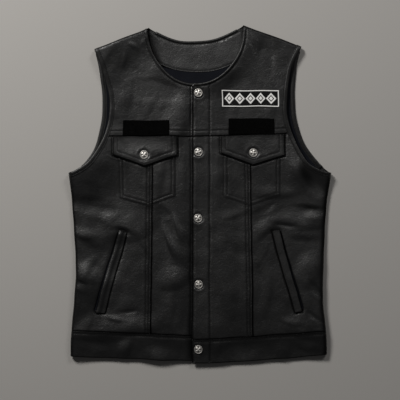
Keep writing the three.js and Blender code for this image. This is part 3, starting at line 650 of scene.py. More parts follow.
panel_rows, band_rows, dips = {}, {}, {}
for side in SIDES:
    panel_rows[side] = [
        *[(yoke_line(side, rise), strength) for rise, strength in YOKE_ROWS],
        *[(seam_line(side, shift), 1.0) for shift in SEAM_ROWS],
        *[row for inset in POCKET_ROWS for row in pocket_rows(side, inset)],
        (beside(front_neck, -(BINDING["neck"] + NECK_ROW["beside"])), NECK_ROW["strength"])]
    band_rows[side] = [(band_line(side, BAND_ROW["rise"]), BAND_ROW["strength"])]
    # A dip is a groove with no stitches, beside the welt, the flap's edge or the lap; shade is painted along
    # it as along a row.
    dips[side] = [(welt_box(side, WELT_DIP["grow"]), WELT_DIP[side]),
                  (path_inset(side, CHEST[side]["flap"], -FLAP_DIP["beside"]), FLAP_DIP["strength"])]
dips["right"].insert(0, (upright(OVERLAP_X - LAP_DIP["beside"], BELOW, LAP_DIP["high"]), LAP_DIP["strength"]))
for x, low, high, strength, band_high, band_strength in PLACKET_ROWS:
    panel_rows["left"].append((upright(x, low, high), strength))
    band_rows["left"].append((upright(x, low, band_high), band_strength))


def sewn(height, rows):
    """A height with each row drawn down into the leather, which swells and puckers beside it.
    A row is a line and its strength."""
    def top(x, y):
        groove, swell = np.zeros(np.shape(x)), np.zeros(np.shape(x))
        for line, strength in rows:
            d = distance_to(x, y, line)
            groove = np.maximum(groove, strength * bell(d, GROOVE["width"]))
            swell = np.maximum(swell, strength * bell(d - GROOVE["beside"], GROOVE["spread"]))
        lift = GROOVE["swell"] + GROOVE["pucker"] * uneven(x, y, PUCKER)
        return height(x, y) - GROOVE["depth"] * groove + lift * swell * (1 - groove)
    return top


def snap_dimple(x, y, spots):
    out = np.zeros(np.shape(x))
    for cx, cy in spots:
        r = np.hypot(x - cx, y - cy)
        out = out - DIMPLE["depth"] * bell(r - DIMPLE["radius"], DIMPLE["width"])
        out = out + DIMPLE["swell"] * bell(r - DIMPLE["swell_radius"], DIMPLE["swell_width"])
    return out


def depth_in(x, y, outline):
    """Distance inside a closed outline, negative outside it."""
    return distance_to(x, y, outline, closed=True) * np.where(inside(x, y, outline), 1, -1)


def front_top(side):
    """The outer face with its laps, pocket, rows of stitches and dimples."""
    bag, flap = (pointed(CHEST[side][part], ABOVE_YOKE) for part in ("bag", "flap"))
    welt, base = welt_box(side, 0), smooth_top(side)

    def relief(x, y):
        low = yoke_y(x) - y
        above_band = y - band_top(side)(x)
        past_seam = seam_x(side)(y) - x
        below = low > 0
        out = base(x, y) + below * POCKET_RELIEF * smoothstep(depth_in(x, y, bag), *POCKET_EDGE)
        lap = SEAM_LAP["height"] * smoothstep(past_seam, *SEAM_LAP["edge"])
        lap = lap * (1 - smoothstep(past_seam, *SEAM_LAP["end"]))
        hollow = SEAM_LAP["hollow"] * bell(np.minimum(past_seam, 0), SEAM_LAP["width"])
        lap = lap - hollow * (past_seam < SEAM_LAP["edge"][0])
        out = out + (below & (above_band > -BAND_LAP["seam_past"])) * lap
        yoke_lap = YOKE_LAP["height"] * (1 - smoothstep(-low, *YOKE_LAP["end"]))
        out = out + np.where(below, -YOKE_LAP["hollow"] * bell(low, YOKE_LAP["width"]), yoke_lap)
        out = out + (above_band > 0) * BAND_LAP["height"] * (1 - smoothstep(above_band, *BAND_LAP["end"]))
        out = out - WELT_HOLLOW["depth"] * bell(distance_to(x, y, welt), WELT_HOLLOW["width"])
        fill = FLAP_FILL["height"] * smoothstep(low, *FLAP_FILL["below"])
        out = out + fill * (1 - smoothstep(-depth_in(x, y, flap), *FLAP_FILL["edge"]))
        if side == "left":
            out = out + PLACKET_FOLD["height"] * (1 - smoothstep(x, *PLACKET_FOLD["edge"]))
            out = out + snap_dimple(x, y, FRONT_SNAPS)
        return out
    return sewn(relief, panel_rows[side] + dips[side])


def back_top(x, y):
    return mix(DOWN_SEAM, LEATHER, inner_share(fold_distance(x, y)))


def back_under(x, y):
    return np.minimum(mix(DOWN_SEAM, 0, rounded(fold_distance(x, y), ROLL)), DOWN_SEAM - ROLL_LIP)


def raised(height, rise):
    return lambda x, y: height(x, y) + rise


# Outlines
def crossing(a, b, value, from_kept):
    """The point between a and b where value turns from at least nought to less, or back."""
    low, high = (0.0, 1.0) if from_kept else (1.0, 0.0)
    for _ in range(HALVINGS):
        half = (low + high) / 2
        low, high = (half, high) if value(mix(a, b, half)) >= 0 else (low, half)
    return mix(a, b, low)


def clip(outline, axis, bound, above):
    """The part of an outline on one side of a line, with the line's own points along the new edge."""
    outline = np.asarray(outline, float)
    sign, other = 1 if above else -1, 1 - axis

    def value(p):
        return sign * (p[..., axis] - bound(p[..., other]))
    outline = np.roll(outline, -int(np.argmax(value(outline) >= 0)), axis=0)
    kept = value(outline) >= 0
    out, left = [], None
    for i, a in enumerate(outline):
        after = (i + 1) % len(outline)
        if kept[i]:
            out.append(a)
        if kept[i] == kept[after]:
            continue
        point = crossing(a, outline[after], value, kept[i])
        if kept[i]:
            left = point
        else:
            count = max(2, int(abs(left[other] - point[other]) / CLIP_STEP))
            fill = np.empty((count, 2))
            fill[:, other] = np.linspace(left[other], point[other], count)
            fill[:, axis] = bound(fill[:, other])
            out += list(fill[1:-1])
        out.append(point)
    return np.array(out)


def at(value):
    return lambda other: np.full(np.shape(other), float(value))


def shifted(line, shift):
    return lambda other: line(other) + shift


def between(outline, axis, low, high):
    return clip(clip(outline, axis, high, False), axis, low, True)


def ring_outline(cuts, edges, hollow):
    """Anticlockwise round a body from its left side, over the shoulders and along its neck."""
    left_top = [(cuts["left"][-1][0], FAR), (hollow[-1][0] + 1, FAR)]
    right_top = [(hollow[0][0] - 1, FAR), (cuts["right"][-1][0], FAR)]
    return np.vstack([edges["left"], cuts["left"], left_top, hollow[::-1], right_top, cuts["right"][::-1],
                      edges["right"][::-1]])


def body_outline(armhole, neck):
    """The whole front or back, its armholes and neck cut some distance inside their finished edges."""
    cuts = {side: beside(armhole[side], SIGN[side] * INSET) for side in SIDES}
    edges = {}
    for side in SIDES:
        y = np.linspace(BELOW, cuts[side][0][1], 126)
        edges[side] = np.column_stack([side_x(side, y), y])
    return clip(ring_outline(cuts, edges, beside(neck, -INSET)), 1, shoulder_y, False)


def lap_arc(edge):
    """The upper front's top corner, rounded below an edge, from the top to the side."""
    cx, cy = OVERLAP_X + LAP_CORNER, np.interp(OVERLAP_X, *edge.T) - LAP_CORNER
    turn = np.linspace(0, math.pi / 2, 8)
    return np.column_stack([cx - LAP_CORNER * np.sin(turn), cy + LAP_CORNER * np.cos(turn)])


def without(outline, gone):
    """The outline's other points in order, from just after those that are gone."""
    first = int(np.argmax(gone & ~np.roll(gone, 1)))
    return np.roll(outline, -first, axis=0)[int(gone.sum()):]


def round_lap_corner(outline, edge):
    arc = lap_arc(edge)
    gone = (outline[:, 0] < arc[0][0]) & (outline[:, 1] > arc[-1][1])
    arc[:, 1] = np.minimum(arc[:, 1], np.interp(arc[:, 0], *edge.T))
    return np.vstack([arc, without(outline, gone)])


def centred_box(x, y, width, height):
    a, b = width / 2, height / 2
    return np.array([(x - a, y - b), (x + a, y - b), (x + a, y + b), (x - a, y + b)])


def soft_corners(outline, radius, steps=4):
    """An outline of few corners, each rounded."""
    out = []
    for i, corner in enumerate(outline):
        a, b = (corner + (other - corner) * min(radius / np.hypot(*(other - corner)), 0.45)
                for other in (outline[i - 1], outline[(i + 1) % len(outline)]))
        for t in np.arange(steps + 1) / steps:
            out.append((1 - t)**2 * a + 2 * t * (1 - t) * corner + t**2 * b)
    return np.array(out)


# Materials
def new_material(name):
    """A material, its tree and the place on the object."""
    material = bpy.data.materials.new(name)
    material.use_nodes = True
    tree = material.node_tree
    return material, tree, node(tree, "ShaderNodeTexCoord", {}, "Object")


def feed(tree, made, inputs):
    """Gives a node its values, and links what comes from other nodes."""
    for key, value in inputs.items():
        if isinstance(value, bpy.types.NodeSocket):
            tree.links.new(value, made.inputs[key])
        else:
            made.inputs[key].default_value = value


def node(tree, kind, inputs, output, **settings):
    made = tree.nodes.new(kind)
    for key, value in settings.items():
        setattr(made, key, value)
    feed(tree, made, inputs)
    return made.outputs[output]


def finished(material, inputs):
    tree = material.node_tree
    feed(tree, tree.nodes["Principled BSDF"], inputs)
    return material


def noise(tree, spot, scale, detail, roughness=0.5, distortion=0.0):
    return node(tree, "ShaderNodeTexNoise", {
        "Vector": spot, "Scale": scale, "Detail": detail, "Roughness": roughness,
        "Distortion": distortion}, "Fac")


def bands(tree, spot, direction, scale, distortion, detail):
    return node(tree, "ShaderNodeTexWave", {
        "Vector": spot, "Scale": scale, "Distortion": distortion, "Detail": detail}, "Fac",
        wave_type="BANDS", bands_direction=direction)


def cells(tree, spot, scale, randomness, feature="F1"):
    return node(tree, "ShaderNodeTexVoronoi", {"Vector": spot, "Scale": scale, "Randomness": randomness},
                "Distance", feature=feature)


def painted(tree, name):
    return node(tree, "ShaderNodeAttribute", {}, "Fac", attribute_name=name)


def combined(tree, operation, a, b):
    return node(tree, "ShaderNodeMath", {0: a, 1: b}, "Value", operation=operation)


def ramp(tree, value, low, high, from_low=0.0, from_high=1.0):
    return node(tree, "ShaderNodeMapRange", {
        "Value": value, "From Min": from_low, "From Max": from_high, "To Min": low, "To Max": high}, "Result")


def blended(tree, factor, a, b):
    a, b = ((*colour, 1) if isinstance(colour, tuple) else colour for colour in (a, b))
    return node(tree, "ShaderNodeMix", {"Factor": factor, "A": a, "B": b}, "Result", data_type="RGBA")


def relief_of(tree, layers):
    """The normal over layers of relief, each with its height, strength, distance and way round."""
    below = {}
    for height, strength, distance, invert in layers:
        inputs = {"Height": height, "Strength": strength, "Distance": distance, **below}
        below = {"Normal": node(tree, "ShaderNodeBump", inputs, "Normal", invert=invert)}
    return below


def leather(name, dark, light, rough, grain=1.0, gloss=0.8):
    """Pebbled grain with fine wrinkles between, a soft sheen, and shade painted along seams, edges, rows and
    hollows, which darkens the colour and lowers the specular level.
    """
    material, tree, spot = new_material(name)
    pebbles = cells(tree, spot, 640.0, 1.0, "SMOOTH_F1")
    fine = noise(tree, spot, 1500.0, 3.0)
    wrinkle = noise(tree, spot, 120.0, 6.0, 0.62, 0.6)
    cloud = noise(tree, spot, 16.0, 5.0, 0.6)
    shade = painted(tree, "shade")
    mottled = blended(tree, ramp(tree, cloud, 0.0, 1.0, 0.3, 0.7), dark, light)
    sheen = combined(tree, "ADD", ramp(tree, wrinkle, rough - 0.06, rough + 0.08),
                     ramp(tree, cloud, -0.05, 0.05, 0.3, 0.7))
    layers = ((wrinkle, 0.5 * grain, 0.0012, False), (pebbles, 0.5 * grain, 0.0005, True),
              (fine, 0.3 * grain, 0.0001, False))
    return finished(material, {
        # Painted shade: where the shade attribute is high the colour goes darker and the specular level falls
        # to almost nothing.
        "Base Color": blended(tree, shade, mottled, tuple(c * 0.4 for c in dark)),
        "Specular IOR Level": ramp(tree, shade, gloss, gloss * 0.04),
        "Roughness": sheen, **relief_of(tree, layers)})


def woven(name, dark, light, rough, pitch, depth):
    """A plain weave of fine threads."""
    material, tree, spot = new_material(name)
    across, up = (bands(tree, spot, direction, 1 / pitch / 2, 1.2, 2.0) for direction in ("X", "Y"))
    both = combined(tree, "MULTIPLY", across, up)
    amount = combined(tree, "MULTIPLY", both, noise(tree, spot, 30.0, 4.0))
    return finished(material, {
        "Base Color": blended(tree, ramp(tree, amount, 0.0, 1.0, 0.05, 0.5), dark, light),
        "Roughness": rough, "Specular IOR Level": 0.2, **relief_of(tree, ((both, 0.6, depth, False),))})


def pile(name, dark, light):
    """Black hook-and-loop: a matt mat of tiny loops."""
    material, tree, spot = new_material(name)
    tufts = noise(tree, spot, 420.0, 4.0)
    layers = ((cells(tree, spot, 1300.0, 0.8), 0.9, 0.0006, False), (tufts, 0.7, 0.0008, False))
    return finished(material, {
        "Base Color": blended(tree, ramp(tree, tufts, 0.0, 1.0, 0.35, 0.7), dark, light),
        "Roughness": 1.0, "Specular IOR Level": 0.05, **relief_of(tree, layers)})


def thread(name, dark, light, rough, pitch=0.0004):
    """Twisted or satin-laid yarn."""
    material, tree, spot = new_material(name)
    twist = bands(tree, spot, "X", 1 / pitch / 6.3, 0.8, 1.0)
    amount = combined(tree, "ADD", twist, noise(tree, spot, 90.0, 3.0))
    return finished(material, {
        "Base Color": blended(tree, ramp(tree, amount, 0.0, 1.0, 0.3, 1.4), dark, light),
        "Roughness": rough, **relief_of(tree, ((twist, 0.6, 0.0002, False),))})


def old_silver(name, dark, light):
    """Plated metal, dark where it is worked in and bright where it is rubbed."""
    material, tree, spot = new_material(name)
    stain = noise(tree, spot, 700.0, 4.0)
    bright = combined(tree, "MULTIPLY", painted(tree, "rub"), ramp(tree, stain, 0.65, 1.2))
    return finished(material, {
        "Base Color": blended(tree, bright, dark, light), "Metallic": 1.0,
        "Roughness": ramp(tree, bright, 0.62, 0.46), **relief_of(tree, ((stain, 0.35, 0.00015, False),))})


BLACK_LEATHER = {"dark": (0.0028, 0.0028, 0.0029), "light": (0.0056, 0.0055, 0.0054)}
LEATHER_MAIN = leather("leather_main", **BLACK_LEATHER, rough=0.4)
LEATHER_BOUND = leather("leather_bound", **BLACK_LEATHER, rough=0.44, grain=0.7, gloss=0.46)
LEATHER_FACING = leather("leather_facing", (0.007, 0.007, 0.0072), (0.011, 0.011, 0.011), 0.44)
LINING = woven("navy_lining", (0.0025, 0.0032, 0.006), (0.006, 0.0078, 0.013), 0.9, 0.0006, 0.0002)
TWILL = woven("black_twill", (0.004, 0.004, 0.004), (0.009, 0.009, 0.009), 0.85, 0.0007, 0.0003)
LOOP_PILE = pile("loop_pile", (0.0006, 0.0006, 0.0006), (0.0026, 0.0026, 0.0026))
BLACK_THREAD = thread("black_thread", (0.003, 0.003, 0.003), (0.008, 0.008, 0.008), 0.75)
WHITE_THREAD = thread("white_thread", (0.74, 0.73, 0.71), (0.93, 0.92, 0.9), 0.55, 0.0007)
SILVER = old_silver("old_silver", (0.05, 0.046, 0.042), (0.93, 0.9, 0.85))


# Meshes
def drifted(x, y):
    """The whole garment lies a little unevenly in plan."""
    return x + DRIFT * uneven(x, y, DRIFT_X), y + DRIFT * uneven(x, y, DRIFT_Y)


def mesh_object(name, points, faces, material):
    mesh = bpy.data.meshes.new(name)
    mesh.from_pydata((np.asarray(points) * MM).tolist(), [], [tuple(int(i) for i in f) for f in faces])
    mesh.validate()
    mesh.materials.append(material)
    mesh.polygons.foreach_set("use_smooth", [True] * len(mesh.polygons))
    obj = bpy.data.objects.new(name, mesh)
    bpy.context.collection.objects.link(obj)
    return obj


def set_attribute(obj, name, values):
    attribute = obj.data.attributes.new(name, "FLOAT", "POINT")
    attribute.data.foreach_set("value", values.astype(np.float32))


def add_piece(obj, nodes=()):
    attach(obj, "root")
    if nodes:
        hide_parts(*nodes)


def triangles_in(outline, points, holes):
    """Triangles over the outline's own points and the free ones, with none in a hole."""
    loops = [np.asarray(outline)] + [np.asarray(h) for h in holes]
    fixed = np.vstack(loops)
    edges, start = [], 0
    for loop in loops:
        edges += [(start + i, start + (i + 1) % len(loop)) for i in range(len(loop))]
        start += len(loop)
    every = np.vstack([fixed, points])
    made = delaunay_2d_cdt([Vector(p) for p in every.tolist()], edges, [], 0, 1e-5, False)
    verts = np.array([v[:] for v in made[0]])
    tris = np.array([t for t in made[2] if len(t) == 3])
    middle = verts[tris].mean(1)
    kept = inside(middle[:, 0], middle[:, 1], outline)
    for hole in holes:
        kept &= ~inside(middle[:, 0], middle[:, 1], hole)
    tris = tris[kept]
    a, b, c = (verts[tris[:, k]] for k in range(3))
    turn = (b[:, 0] - a[:, 0]) * (c[:, 1] - a[:, 1]) - (b[:, 1] - a[:, 1]) * (c[:, 0] - a[:, 0])
    tris[turn < 0] = tris[turn < 0][:, ::-1]
    return verts, tris[np.abs(turn) > 1e-7]


def border_of(x, y, loops):
    """Distance to a panel's nearest edge, those of its holes too."""
    return np.minimum.reduce([distance_to(x, y, loop, closed=True) for loop in loops])


def within_panel(points, loops, clear):
    """The points in a panel and outside its holes, some way in from all its edges."""
    ok = inside(*points.T, loops[0])
    for hole in loops[1:]:
        ok &= ~inside(*points.T, hole)
    points = points[ok]
    return points[border_of(*points.T, loops) > clear]


def edge_rings(loops):
    """Points in rings beside a panel's edges."""
    rings = []
    for depth in RINGS:
        for k, loop in enumerate(loops):
            inward = np.sign(signed_area(loop)) * (1 if k == 0 else -1)
            moved = beside(np.vstack([loop[-1:], loop, loop[:1]]), inward * depth)[1:-1]
            rings.append(moved[border_of(*moved.T, loops) > RING_KEPT * depth])
    return rings


def grid_points(rows, loops, step):
    """A triangular grid over a panel, away from its edges and rows."""
    low, high = loops[0].min(0), loops[0].max(0)
    lines = []
    for k, y in enumerate(np.arange(low[1], high[1], step * LINES_APART)):
        x = np.arange(low[0] + (k % 2) * step / 2, high[0], step)
        lines.append(np.column_stack([x, np.full(len(x), y)]))
    grid = within_panel(np.vstack(lines), loops, RINGS[-1] + GRID_CLEAR * step)
    for row, _ in rows:
        grid = grid[distance_to(*grid.T, row) > ROW_CLEAR]
    return grid


def fine_points(rows, spots, loops):
    """Close points along rows of stitches and round snaps."""
    fine = [beside(resample(row, ROW_STEP), shift) for row, _ in rows for shift in ROW_OFFSETS]
    for cx, cy in spots:
        for r in SPOT_RADII:
            turn = np.linspace(0, math.tau, max(12, int(r * 2.4)), endpoint=False)
            fine.append(np.column_stack([cx + r * np.cos(turn), cy + r * np.sin(turn)]))
    return [within_panel(np.vstack(fine), loops, RINGS[-1] * FINE_CLEAR)] if fine else []


def shell_faces(tris, count):
    """The upper faces, the lower ones and a wall along each open edge."""
    used = {edge: True for a, b, c in tris.tolist() for edge in ((a, b), (b, c), (c, a))}
    walls = [(b, a, a + count, b + count) for a, b in used if (b, a) not in used]
    return [*tris.tolist(), *(tris[:, ::-1] + count).tolist(), *walls]


def shade_of(x, y, far, edge, rows, painted_shade):
    """How much shade is painted on each point: beside edges and side seams, in rows and where it is told."""
    seam_width = np.where(x < 0, SHADE["right_seam"], SHADE["left_seam"])
    shade = np.maximum(bell(far, max(2 * edge, SHADE["edge"])), bell(seam_distance(x, y), seam_width))
    if painted_shade:
        shade = np.maximum(shade, painted_shade(x, y))
    for row, strength in rows:
        in_row = min(strength, 1) * SHADE["row"] * bell(distance_to(x, y, row), SHADE["row_width"])
        shade = np.maximum(shade, in_row)
    return shade


def declare_sheet(outline):
    """Works out the size of an outline's box, or of a strip with the same area where it fills little of its
    box, and keeps nothing.
    """
    size, area = np.ptp(outline, axis=0), area_of(outline)
    flat = size if area > LEAST_FILL * size[0] * size[1] else np.array([area / size.max(), size.max()])
    area = min(area, flat.prod())


def panel(name, outline, top, under, nodes, material=LEATHER_MAIN, slot="leather", step=3.0, rows=(),
          holes=(), spots=(), edge=0.8, rests_on=(), declare=True, painted_shade=None):
    """A closed shell between two heights over an outline, with close points at edges, rows and spots."""
    loops = [resample(np.vstack([line, line[:1]]), step)[:-1] for line in (outline, *holes)]
    runs = np.hypot(*(loops[0] - np.roll(loops[0], 1, axis=0)).T)
    loops[0] = loops[0][runs > LEAST_RUN]
    free = np.vstack([*edge_rings(loops), grid_points(rows, loops, step), *fine_points(rows, spots, loops)])
    points, tris = triangles_in(loops[0], free, loops[1:])
    x, y = points.T
    far = border_of(x, y, loops)
    soft = 1 - rounded(far, edge) if edge else 0
    low_z = under(x, y)
    high_z = np.maximum(top(x, y) - EDGE_DROP * edge * soft, low_z + LEAST_THICK)
    plan = np.column_stack(drifted(x, y))
    shell = np.vstack([np.column_stack([plan, z]) for z in (high_z, low_z)])
    obj = mesh_object(name, shell, shell_faces(tris, len(points)), material)
    # Shade painted on the upper face along edges, side seams and rows; the lower face gets full painted
    # shade.
    shade = shade_of(x, y, far, edge, rows, painted_shade)
    set_attribute(obj, "shade", np.concatenate([shade, np.ones(len(points))]))
    add_piece(obj, nodes)
    if declare:
        declare_sheet(loops[0])
    return obj


def strip_along(name, line, cloth, section, top, under, nodes):
    """A binding swept along an edge, with the cloth to one side of it."""
    rings = []
    for part in section:
        x, y = beside(line, cloth * part.inward).T
        rings.append(np.column_stack([*drifted(x, y), mix(under(x, y), top(x, y), part.share) + part.rise]))
    count, n = len(section), len(line)
    faces = []
    for i in range(n - 1):
        for k in range(count):
            a, b = i * count + k, i * count + (k + 1) % count
            faces.append((a, b, b + count, a + count))
    faces += [tuple(range(count))[::-1], tuple(range((n - 1) * count, n * count))]
    obj = mesh_object(name, np.stack(rings, 1).reshape(-1, 3), faces, LEATHER_BOUND)
    # Painted shade on the binding's lower face and on the low parts of its section: its edges and its stitch
    # groove.
    shade = [1.0 if part.share < 1 or part.rise < SHOWN_RISE else 0.0 for part in section]
    set_attribute(obj, "shade", np.tile(shade, n))
    add_piece(obj, nodes)


# The back, its lining and its facing
BACK_STEP = {"panel": 7.0, "band": 6.0, "facing": 3.2, "lining": 5.0}
back = body_outline(back_armhole, back_neck)
panel("back_panel_leather", clip(back, 1, shifted(back_band_top, HALF_GAP), True), back_top, back_under,
      ("back_panel",), step=BACK_STEP["panel"])


def back_band_inner(x, y):
    return back_top(x, y) + 2 * BAND_EXTRA * inner_share(fold_distance(x, y))


panel("back_waistband_leather", between(back, 1, back_hem, shifted(back_band_top, -HALF_GAP)),
      back_band_inner, back_under, ("back_waistband",), step=BACK_STEP["band"])


def lining_outline():
    """Inside the sides, shoulders and bindings."""
    rows = np.linspace(LINING_LOW, SIDE[-1]["y"], 40)
    edges, arms = {}, {}
    for side in SIDES:
        edges[side] = np.column_stack([side_x(side, rows) - SIGN[side] * LINING_INSET, rows])
        arm = beside(back_armhole[side], SIGN[side] * (BINDING["armhole"] + GAP))
        arms[side] = arm[np.abs(arm[:, 0]) < SIDE[-1]["left"] - LINING_INSET]
    outline = ring_outline(arms, edges, beside(back_neck, -(BINDING["neck"] + GAP)))
    return between(outline, 1, shifted(back_band_top, 1), shifted(shoulder_y, -LINING_INSET))


inner = lining_outline()
facing_line = np.array([(x, facing_y(x)) for x in np.linspace(FACING["right"], FACING["left"], 60)])
facing = clip(clip(inner, 1, facing_y, True), 0, at(FACING["right"]), True)
facing = clip(facing, 0, at(FACING["left"]), False)
facing_rows = [(beside(facing_line, FACING_ROW_IN["facing"]), FACING_ROW_IN["strength"]),
               (beside(back_neck, -(BINDING["neck"] + FACING_ROW_IN["neck"])), FACING_ROW_IN["strength"])]


def facing_top(x, y):
    """The facing is a little uneven, and curls up where it meets the right neck edge."""
    soft = FACING_SOFT["ripple"] * uneven(x, y, RIPPLE) + FACING_SOFT["broad"] * uneven(x, y, BROAD)
    curl = 1 - smoothstep(distance_to(x, y, front_neck), 0, CURL["reach"])
    curl = CURL["height"] * curl * (1 - smoothstep(x, *CURL["across"]))
    return INNER_TOP + CURL["lift"] + soft * FACING_SOFT["share"] + curl


def facing_painted_shadow(x, y):
    """A painted shadow on the facing where it turns down under the right neck edge."""
    rim = bell(distance_to(x, y, front_neck), FACING_PAINTED_SHADOW["reach"])
    return FACING_PAINTED_SHADOW["amount"] * rim * (1 - smoothstep(x, *FACING_PAINTED_SHADOW["across"]))


def lap_painted_shadow(x, y):
    """A painted shadow of the upper front on the lower one beside the lap."""
    reach = mix(*LAP_PAINTED_SHADOW["reach"], smoothstep(-y, *LAP_PAINTED_SHADOW["down"]))
    return LAP_PAINTED_SHADOW["amount"] * bell(OVERLAP_X - x, reach)


# Painted shade in the hollows beside the deepest folds.
def hollow_painted_shade(x, y):
    return np.minimum(folded(x, y, HOLLOWS), 1)


def lining_top(x, y):
    cx, cy, half_width, half_height = NEAR_NECK["place"]
    near_neck = np.exp(-(((x - cx) / half_width)**2 + ((y - cy) / half_height)**2))
    return INNER_TOP + near_neck * (NEAR_NECK["ripple"] * uneven(x, y, RIPPLE) + NEAR_NECK["rise"])


# The facing gets a painted shadow under the right neck edge.
panel("back_neck_facing_leather", facing, sewn(facing_top, facing_rows),
      lambda x, y: np.full(np.shape(x), INNER_LOW), ("back_neck_facing",), LEATHER_FACING,
      step=BACK_STEP["facing"], rows=facing_rows, painted_shade=facing_painted_shadow)


def notched(outline):
    """The lining's outline, cut out round the facing."""
    low, shoulder = shifted(facing_y, -GAP), shifted(shoulder_y, -LINING_INSET)
    right, left = FACING["right"] - GAP, FACING["left"] + GAP
    x, y = outline.T
    gone = (x > right) & (x < left) & (y > low(x))
    across = np.linspace(left, right, 70)
    return np.vstack([[(left, shoulder(left))], np.column_stack([across, low(across)]),
                      [(right, shoulder(right))], without(outline, gone)])


panel("back_lining_cloth", notched(inner), lining_top, raised(back_top, GAP), ("back_lining",), LINING,
      "lining", step=BACK_STEP["lining"], edge=0.5, rests_on=("back_panel_leather",))


def back_flat(x, y):
    return np.full(np.shape(x), float(LEATHER))


def table_top(x, y):
    return np.zeros(np.shape(x))


def on_flat(line):
    """The part of an edge that lies on the flat of the back."""
    x, y = line.T
    return line[(y > SIDE[-1]["y"] + 2 * ROLL) & (y < shoulder_y(x) - ROLL - 1)]


for side in SIDES:
    strip_along(f"{side}_back_armhole_trim", on_flat(back_armhole[side]), SIGN[side], ARMHOLE_SECTION,
                back_flat, table_top, (f"{side}_back_armhole_binding",))
strip_along("back_neck_trim", on_flat(back_neck), -1, NECK_SECTION, back_flat, table_top,
            ("back_neck_binding",))

# The fronts
fronts = body_outline(front_armhole, front_neck)
front_edge = beside(front_neck, -INSET)
stitch_rows = {"right": [], "left": [], "back": []}
flap_tops = {}
Front = namedtuple("Front", "side sign half top under plain spots")


def sew(group, row, height, within=None, bare=()):
    """Notes a row of stitches, on a height, within an outline and outside the things that cover it."""
    stitch_rows[group].append((row, height, within, bare))


def front_of(side):
    edge, above = (at(UNDERLAP_X), False) if side == "right" else (at(OVERLAP_X), True)
    return Front(side, SIGN[side], clip(fronts, 0, edge, above), front_top(side), front_under(side),
                 smooth_top(side), FRONT_SNAPS if side == "left" else [])


def pocket_slot(front):
    """The opening in the side panel behind the welt."""
    (x1, y1), (x2, y2) = WELT[front.side]["outer_top"], WELT[front.side]["outer_bottom"]
    under, beyond = front.sign * SLOT["under"], front.sign * SLOT["beyond"]
    high, low = y1 - SLOT["short"], y2 + SLOT["short"]
    return np.array([(x1 - under, high), (x1 + beyond, high), (x2 + beyond, low), (x2 - under, low)])


def band_face(front, spots):
    """The waistband's outer face, a little above the panels."""
    def outer(x, y):
        return front.plain(x, y) + BAND_EXTRA + snap_dimple(x, y, spots)
    return sewn(outer, band_rows[front.side])


def band_outline(front):
    top = shifted(band_top(front.side), -HALF_GAP)
    return between(front.half, 1, HEM[front.side], top)


def front_panels(front):
    side, s = front.side, front.sign
    creased = panel_rows[side] + dips[side]
    seam, slot = seam_x(side), pocket_slot(front)

    def slot_sunk(x, y):
        """The panel's edge turns in along the pocket's mouth."""
        return front.top(x, y) - MOUTH["depth"] * bell(distance_to(x, y, slot[1:3]), MOUTH["width"])

    def band_under(x, y):
        return front.under(x, y) - BAND_EXTRA * inner_share(fold_distance(x, y))
    upper = clip(front.half, 1, shifted(yoke_y, HALF_GAP), True)
    if side == "left":
        upper = round_lap_corner(upper, front_edge)
    lower = between(front.half, 1, shifted(band_top(side), HALF_GAP), shifted(yoke_y, -HALF_GAP))
    outer_part = clip(lower, 0, shifted(seam, s * HALF_GAP), side == "left")
    centre_part = clip(lower, 0, shifted(seam, -s * HALF_GAP), side != "left")
    # The right front's centre panel and waistband get a painted shadow of the upper front beside the lap.
    painted_lap_shadow = lap_painted_shadow if side == "right" else None
    on_lining = {"rows": creased, "rests_on": ("back_lining_cloth",)}
    panel(f"{side}_yoke_leather", upper, front.top, front.under, (f"{side}_yoke",), spots=front.spots,
          edge=1.0, **on_lining)
    panel(f"{side}_centre_leather", centre_part, front.top, front.under, (f"{side}_centre_panel",),
          spots=front.spots, edge=0.9, painted_shade=painted_lap_shadow, **on_lining)
    # The side panels get painted shade in the hollows beside their deepest folds.
    panel(f"{side}_side_leather", outer_part, slot_sunk, front.under, (f"{side}_side_panel",), holes=(slot,),
          edge=0.9, painted_shade=hollow_painted_shade, **on_lining)
    panel(f"{side}_waistband_leather", band_outline(front), band_face(front, front.spots), band_under,
          (f"{side}_waistband",), rows=band_rows[side], spots=front.spots, edge=0.9,
          rests_on=("back_waistband_leather",), painted_shade=painted_lap_shadow)


def front_bindings(front):
    side = front.side
    strip_along(f"{side}_armhole_trim", front_armhole[side], front.sign, ARMHOLE_SECTION, front.plain,
                front.under, (f"{side}_armhole_binding_lower", f"{side}_armhole_binding_upper"))
    rim = front_neck[front_neck[:, 1] < shoulder_y(front_neck[:, 0])]
    if side == "right":
        rim = rim[rim[:, 0] < UNDERLAP_X]
    else:
        arc = lap_arc(front_neck)[::-1]
        rim = np.vstack([arc[:-1], rim[rim[:, 0] > arc[-1][0] + 1]])
    strip_along(f"{side}_neck_trim", rim, -1, NECK_SECTION, front.plain, front.under,
                (f"{side}_neck_binding",))


def pocket_bag(front, name, outline, node_name):
    panel(name, outline, raised(front.under, -GAP), raised(front.under, -GAP - CLOTH), (node_name,), LINING,
          "lining", step=7.0, edge=0, rests_on=("back_lining_cloth",))


